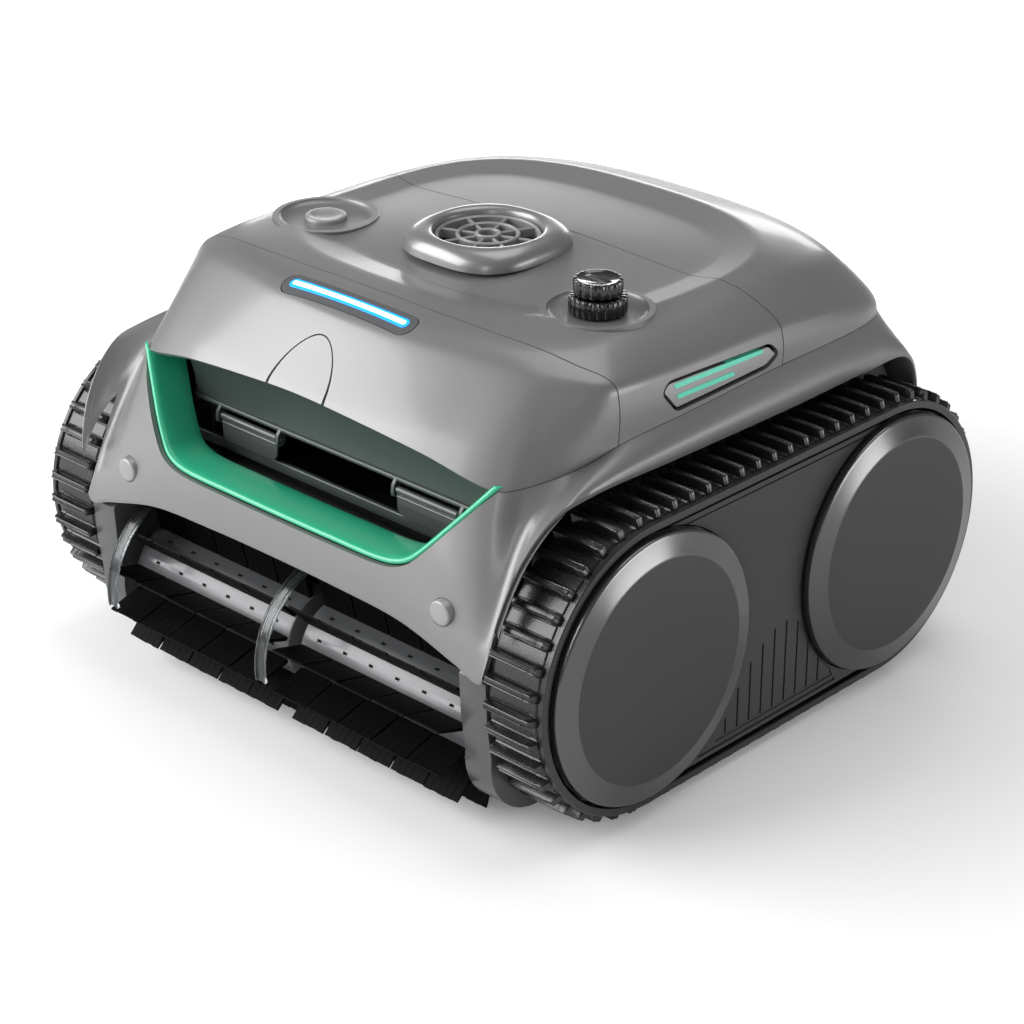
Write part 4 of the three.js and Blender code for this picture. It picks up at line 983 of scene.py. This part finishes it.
def build_track():
    """The belt with a lug and a tread pad at each pitch; the pads carry the second material."""
    pitch = TRACK_LENGTH / LUGS
    rise = [(2.75, -0.4), (2.75, 0.5), (2.2, 1.3), (1.85, 5.9), (1.7, 6.48), (1.35, 6.78), (0.95, 6.6),
            (0.7, 6.1)]
    crest = [(-t, h) for t, h in rise] + rise[::-1]
    lug_ends = [(161.0, 0.80, 0.9), (161.7, 0.98, 1.0), (162.4, 1.0, 1.0), (188.4, 1.0, 1.0),
                (188.9, 0.97, 1.12), (192.6, 0.97, 1.12), (193.6, 0.86, 1.05), (194.9, 0.22, 0.95)]
    half = pitch / 2 - LUG_HALF
    pad_ends = [(162.2, 0.2, 0.9), (162.8, 1, 1), (192.8, 1, 1), (193.4, 0.2, 0.9)]
    pad_cut = [(-half, -0.4), (-half, 0.5), (-half + 0.5, 0.95), (0, 1.0), (half - 0.5, 0.95), (half, 0.5),
               (half, -0.4)]
    verts, faces, kinds = [], [], []

    def put(points, local, kind):
        verts.extend(points)
        faces.extend(local)
        kinds.extend([kind] * len(local))

    def bar(section, ends, middle, kind):
        points = [(x, *track_line(middle + t * wide, h if h < 0 else h * tall))
                  for x, tall, wide in ends for t, h in section]
        put(points, bar_faces(len(ends), len(section), len(verts)), kind)

    for i in range(LUGS):
        bar(crest, lug_ends, (i + 0.5) * pitch, 0)
        bar(pad_cut, pad_ends, i * pitch, 1)
    belt = [(160, -3.4), (160, -0.5), (160.5, 0), (195.0, 0), (195.3, 0.9), (195.7, 1.25), (197.9, 1.25),
            (198.4, 0.8), (198.5, 0.2), (198.5, -3.0), (198.1, -3.4)]
    points = [(x, *track_line(TRACK_LENGTH * i / BELT_STEPS, h)) for x, h in belt for i in range(BELT_STEPS)]
    put(points, loop_faces(len(belt), BELT_STEPS, len(verts), wrap=True), 0)
    obj = mesh_object("track", verts, faces)
    obj.data.polygons.foreach_set("material_index", kinds)
    return closed(obj, merge=False)


def build_wheel_cover(y):
    rim_inner, face_x = 63.9, 198
    profile = [(197.65, AXIS), (197.65, 75.9), (197.9, 76.5), (198.5, 76.7), (200.9, 76.7), (201.6, 76.5),
               (202.0, 75.9), (202.3, 75.0), (204.55, 65.2), (204.85, 64.5), (205.0, 63.6), (205.0, 40),
               (205.0, AXIS)]
    obj = lathe("disc", profile, (0, y, AXLE_Z), "X", 160)
    for material in ("disc", "disc_rim"):
        obj.data.materials.append(M[material])
    for poly in obj.data.polygons:
        c = poly.center / MM
        radius = math.hypot(c.y - SHIFT - y, c.z - AXLE_Z)
        poly.material_index = 1 if radius > rim_inner and c.x > face_x else 0
    return obj


def build_skirt():
    clear, spread = 77.6, 1.40
    x0, x1 = 190.5, 197.2
    outline = arc((-AXLE_Y, AXLE_Z), clear, -spread, spread, 56)
    outline += arc((AXLE_Y, AXLE_Z), clear, math.pi - spread, math.pi + spread, 56)
    panel = bevel(prism("skirt", outline, "X", x0, x1), 0.7, 3, 40)

    def engrave(points, depth, out=3):
        cut(panel, prism("engrave", points, "X", x1 - depth, x1 + out))

    edge = ((-46, 19), (-38, 30), (-29, 44), (-19, 56), (-7, 66), (6, 72), (18, 71.5), (26, 65), (32, 55),
            (39, 44), (47, 33), (55, 25), (58, 19))
    zone = spline([(y, z, 0) for y, z in edge], 5)[:, :2]
    engrave([tuple(p) for p in zone], 0.6, 5)
    for y in np.arange(-37, 52, 10.2):
        inside = [z for yy, z in zone if abs(yy - y) < 1.6 and z > 30]
        high = max(inside) - 1.5 if inside else 28
        if high > 30:
            engrave([(y - 0.7, 20.5), (y + 0.7, 20.5), (y + 0.7, high), (y - 0.7, high)], 2.2)
    engrave([(-80, 161.6), (80, 161.6), (80, 162.6), (-80, 162.6)], 0.9)
    engrave([(-60, 15.0), (60, 15.0), (61, 17.0), (-61, 17.0)], 0.9)
    return join(panel, *(block("post", 150.35, x0 + 1, -14, 14, z0, z1) for z0, z1 in ((70, 76), (120, 126))))


def build_running_gear():
    track = build_track()
    track.data.materials.clear()
    for material in ("rubber", "tread"):
        track.data.materials.append(M[material])
    finish(track, "track_belt_right", "root", None, ["track_right"], 22)
    # the left belt is a mirrored copy of the finished right one
    left = flip_x(copy_of(track, "left"))
    finish(left, "track_belt_left", "root", None, ["track_left"], 22)
    for end, y in (("front", -AXLE_Y), ("rear", AXLE_Y)):
        finish_sides((build_wheel_cover(y), end + "_disc_{}", end + "_drive_{}", None, "disc",
                      end + "_wheel_cover_{}"), angle=20)
    finish_sides((build_skirt(), "side_panel_{}", "root", "skirt", "dark_plastic", "side_skirt_{}"), angle=30)


build_running_gear()

# ---- brushes

BRUSH_Z, GEAR_CENTRES = 50.3, 60.0
BRUSH_Y = -AXLE_Y - math.sqrt(GEAR_CENTRES ** 2 - (AXLE_Z - BRUSH_Z) ** 2)
BRUSH = (BRUSH_Y, BRUSH_Z)
BLADE_ROWS, BLADE_SEGMENTS, FINGERS, BRUSH_R = 12, 5, 5, 49.9


def on_brush(x, radius, aside, turn):
    """A point of the brush: along it, out from its axis, and aside from that radius."""
    c, s = math.cos(turn), math.sin(turn)
    return x, BRUSH_Y + radius * c - aside * s, BRUSH_Z + radius * s + aside * c


def build_brush_core(inner, outer):
    face = [(0, 25.8), (0.4, 26.6), (1.2, 27)]
    profile = [(inner, AXIS)] + [(inner + d, r) for d, r in face]
    profile += [(outer - d, r) for d, r in face[::-1]] + [(outer, AXIS)]
    core = lathe("core", profile, (0, *BRUSH))
    cutters = []
    for row in range(BLADE_ROWS):
        turn = TURN * row / BLADE_ROWS
        for x in (16 + 20.5 * k for k in range(6)):
            points = [on_brush(x + dx, 26.6 + out, aside, turn) for dx in (0, 3.4)
                      for out, aside in ((-2, -0.8), (2, -0.8), (2, 0.8), (-2, 0.8))]
            cutters.append(solid("slot", points, bar_faces(2, 4)))
    cut(core, merged(cutters))
    return join(core, rod("axle", "X", 5, outer - 1, 158, BRUSH, 32, 0.6))


def build_blades(inner, outer):
    """Rows of rubber blades, each segment split into fingers with a lean of its own."""
    verts, faces = [], []
    rng = np.random.default_rng(7)
    length = (outer - inner - 2) / BLADE_SEGMENTS
    for row in range(BLADE_ROWS):
        turn = math.radians(30 * (row + 0.5))
        for k in range(BLADE_SEGMENTS):
            x0 = inner + 1 + k * length + 0.7
            x1 = x0 + length - 1.4
            lean = rng.uniform(-0.5, 0.5)
            edge = [x0 + (x1 - x0) * i / FINGERS for i in range(FINGERS + 1)]
            for f in range(FINGERS):
                a = edge[f] + (0.12 if f else 0)
                b = edge[f + 1] - (0.12 if f < FINGERS - 1 else 0)
                tip = BRUSH_R - rng.uniform(0, 0.5)
                faces += bar_faces(4, 4, len(verts))
                for r, half, share in ((26.2, 1.25, 0), (35, 1.05, 0.3), (43, 0.9, 0.7), (tip, 0.55, 1)):
                    for x, t in ((a, -half), (b, -half), (b, half), (a, half)):
                        verts.append(on_brush(x, r, t + lean * share, turn))
    return solid("blades", verts, faces, merge=False)


def build_guard(x):
    base = 50.9
    section = [(-3.9, 0), (3.9, 0), (3.9, 1.7), (3.6, 1.95), (2.6, 1.95), (2.3, 0.9), (-2.3, 0.9), (-2.6, 1.95),
               (-3.6, 1.95), (-3.9, 1.7)]
    angles = np.radians(np.linspace(90, 188, 64))
    verts = [(x + a, *on_circle(BRUSH, base + b, t)) for t in angles for a, b in section]
    return solid("guard", verts, bar_faces(len(angles), len(section)))


def build_end_plate():
    tooth, pocket, clear = 2.5, 145.3, 170      # gear module, and the pocket the gears turn in
    neck = [(-181.5, 48), (-184.8, 72), (-186, 97), (-183.5, 99.2), (-178, 99.8), (-150, 99.8), (-132, 92),
            (-116, 80), (-112, 40)]
    plate = prism("plate", arc((-146, 45.5), 36, 0, TURN, 96, endpoint=False), "X", 140, 159)
    join(plate, prism("neck", neck, "X", 140, 159))
    return cut(bevel(plate, 3.0, 5, 50), rod("pocket", "X", tooth * 9 + 1.2, pocket, clear, BRUSH, 64, 0.01),
               rod("pocket", "X", tooth * 17 + 1.5, pocket, clear, (-AXLE_Y, AXLE_Z), 96, 0.01),
               block("pocket", pocket, clear, -126, -100, 0, 120),
               rod("bore", "X", 5.35, 138, clear, BRUSH, 48, 0.01))


def build_base():
    half, back, start, floor, thick = 145.65, 168, BRUSH_Y + 51, 24, 3

    def bow(radius):
        return [on_circle(BRUSH, radius, math.radians(t)) for t in np.linspace(-28, 100, 60)]

    pan = bevel(block("pan", -half, half, start, back, floor, floor + thick), 0.8)
    join(pan, prism("arch", bow(56.5) + bow(53.5)[::-1], "X", -138, 138),
         block("heel", -half, half, start, start + 6, floor, 40),
         block("rear", -half, half, back - thick, back, floor, 58),
         *(block("rib", x - 1.5, x + 1.5, start, back, floor, 34) for x in (-75, 75)))
    cut(pan, block("intake", -60, 60, start + 9, start + 27, 0, 60))
    finish(pan, "bottom_pan", "root", "dark_plastic", ["base_pan"], 30)
    verts, faces, steps = [], [], 14
    for sign in (-1, 1):
        for x0 in (sign * (8 + 15.5 * k) for k in range(9)):
            faces += bar_faces(steps + 1, 4, len(verts))
            for i in range(steps + 1):
                x, t = x0 + sign * 9 * i / steps, math.radians(100 - 58 * i / steps)
                verts += [(x + dx, *on_circle(BRUSH, r, t))
                          for dx, r in ((-0.6, 53.9), (0.6, 53.9), (0.6, 52.3), (-0.6, 52.3))]
    ribs = solid("ribs", verts, faces)
    finish(ribs, "housing_ribs", "root", "black_gloss")


def build_brush_gear():
    inner, outer = 4.5, 137.0
    finish_sides((build_brush_core(inner, outer), "brush_core_{}", "brush_body_{}", "brush_core", "brush_core",
                  "brush_{}"),
                 (build_blades(inner, outer), "brush_blades_{}", "brush_body_{}", "bristle", "rubber",
                  "brush_{}"))
    for place, x in (("centre", 0), ("left", -128)):
        finish(build_guard(x), "guard_" + place, "root", "clear", ["brush_guard_" + place], 40)
    finish_sides((build_end_plate(), "brush_bearing_{}", "root", "bearing", "trim", "brush_end_plate_{}"),
                 angle=30)


build_base()
build_brush_gear()

# ---- pump


def build_pump():
    base, top = 27.35, 244
    profile = [(base, 33), (base, 35.5), (top - 0.8, 35.5), (top, 34.9), (top, 33.5), (top - 0.6, 33)]
    tube = lathe("tube", profile, (*OUTLET, 0), "Z")
    join(tube, lathe("clamp", [(168, 20.35), (168, 22.5), (178, 22.5), (178, 20.35)], (*OUTLET, 0), "Z", 72))
    strut = ((21.5, -1.5), (34, -1.5), (34, 1.5), (21.5, 1.5))
    for turn in (30, 150, 270):
        c, s = math.cos(math.radians(turn)), math.sin(math.radians(turn))
        outline = [(a * c - b * s, OUTLET_Y + a * s + b * c) for a, b in strut]
        join(tube, prism("strut", outline, "Z", 169, 177))
    for low, high in ((112, 160), (base + 14, 96)):
        cut(tube, prism("window", round_rect(-16, 16, low, high, 4), "Y", OUTLET_Y - 60, OUTLET_Y + 60))
    finish(tube, "pump_duct", "root", "dark_plastic", ["pump_housing"], 30)


def build_impeller():
    profile = [(205.35, AXIS), (205.35, 2.5), (212, 2.5), (212, 9.6), (212.4, 10), (232, 10), (235, 8),
               (236, 4), (236, AXIS)]
    hub = lathe("hub", profile, (*OUTLET, 0), "Z", 48)
    section = ((-8, 0.9), (0, 1.1), (8, 0.7), (8, -0.7), (0, -1.1), (-8, -0.9))
    for k in range(4):
        verts = []
        for r in np.linspace(8, 30.3, 9):
            pitch = math.radians(48 - 22 * (r - 8) / 22)
            for a, h in section:
                along = a * math.cos(pitch) - h * math.sin(pitch) * 0.6
                up = a * math.sin(pitch) * 0.9 + h
                verts.append((*on_circle(OUTLET, r, math.radians(90 * k) + along / max(r, 12)), 224 + up))
        join(hub, solid("blade", verts, bar_faces(9, len(section))))
    finish(hub, "impeller_wheel", "impeller_body", "gear", ["impeller"], 40)


build_pump()
build_impeller()

# ---- materials for the CAD pieces left in view

slots = {part["node"]: part["material_slot"] for part in frame["record"]["subparts"]}
for name, node in frame["nodes"].items():
    node.data.materials.clear()
    node.data.materials.append(M.get(slots.get(name), M["dark_plastic"]))

# ---- floor, light and camera


def area_light(name, place, target, size, power):
    lamp = bpy.data.lights.new(name, "AREA")
    lamp.shape = "RECTANGLE"
    lamp.size, lamp.size_y = size
    lamp.energy = power
    obj = bpy.data.objects.new(name, lamp)
    scene.collection.objects.link(obj)
    obj.location = place
    obj.rotation_euler = (Vector(target) - Vector(place)).to_track_quat("-Z", "Y").to_euler()


def build_floor():
    """A pale floor whose glow, seen by the camera only, fades in away from the machine: the weaker glow near it
    is painted shade round the machine.
    """
    wide = 6000
    corners = [(-wide, -wide), (wide, -wide), (wide, wide), (-wide, wide)]
    floor = prism("floor", corners, "Z", -20, -0.05)
    mat = bpy.data.materials.new("floor")
    mat.use_nodes = True
    nodes, links = mat.node_tree.nodes, mat.node_tree.links
    shader = nodes["Principled BSDF"]
    set_inputs(shader, Base_Color=(0.9, 0.9, 0.9, 1), Roughness=0.7, Specular_IOR_Level=0.1,
               Emission_Color=(1, 1, 1, 1))
    path = nodes.new("ShaderNodeLightPath")
    gain = nodes.new("ShaderNodeMath")
    gain.operation = "MULTIPLY"
    place = nodes.new("ShaderNodeTexCoord")
    reach = nodes.new("ShaderNodeVectorMath")
    reach.operation = "LENGTH"
    links.new(place.outputs["Object"], reach.inputs[0])
    # weak glow near the machine and full glow far off: painted shade on the floor round it
    fade = add_node(nodes, "ShaderNodeMapRange", From_Min=0.25, From_Max=1.3, To_Min=0.14, To_Max=0.9)
    fade.interpolation_type = "SMOOTHSTEP"
    links.new(reach.outputs["Value"], fade.inputs["Value"])
    links.new(path.outputs["Is Camera Ray"], gain.inputs[0])
    links.new(fade.outputs["Result"], gain.inputs[1])
    links.new(gain.outputs[0], shader.inputs["Emission Strength"])
    floor.data.materials.append(mat)


def build_world():
    """White to the camera, and a soft fill for every other ray."""
    world = bpy.data.worlds.new("world")
    scene.world = world
    world.use_nodes = True
    nodes, links = world.node_tree.nodes, world.node_tree.links
    back = nodes["Background"]
    back.inputs["Color"].default_value = (1, 1, 1, 1)
    path = nodes.new("ShaderNodeLightPath")
    strength = add_node(nodes, "ShaderNodeMapRange", To_Min=0.24, To_Max=1.0)
    links.new(path.outputs["Is Camera Ray"], strength.inputs["Value"])
    links.new(strength.outputs["Result"], back.inputs["Strength"])


build_floor()
build_world()
area_light("key", (-1.5, -1.7, 1.2), (0, 0, 0.12), (2.4, 1.8), 84)
area_light("top", (0.1, 0.5, 1.9), (0, 0, 0.2), (1.6, 1.2), 13)
area_light("rim", (1.6, 0.8, 0.24), (0, 0, 0.12), (0.8, 0.45), 7)
area_light("back", (-1.15, 1.4, 0.42), (0, 0, 0.25), (1.3, 0.3), 7)
area_light("strip", (0.9, -1.3, 0.5), (0.2, -0.1, 0.1), (0.25, 1.2), 3)

lens_data = bpy.data.cameras.new("camera")
lens_data.lens = 95.77
lens_data.sensor_width = 36
lens_data.clip_end = 50
camera = bpy.data.objects.new("camera", lens_data)
scene.collection.objects.link(camera)
target = Vector((0, SHIFT * MM, 0.0766))
camera.location = Vector((1.0040, -1.0506 + SHIFT * MM, 0.7803))
camera.rotation_euler = (target - camera.location).to_track_quat("-Z", "Y").to_euler()
scene.camera = camera
scene.view_settings.view_transform = "Standard"
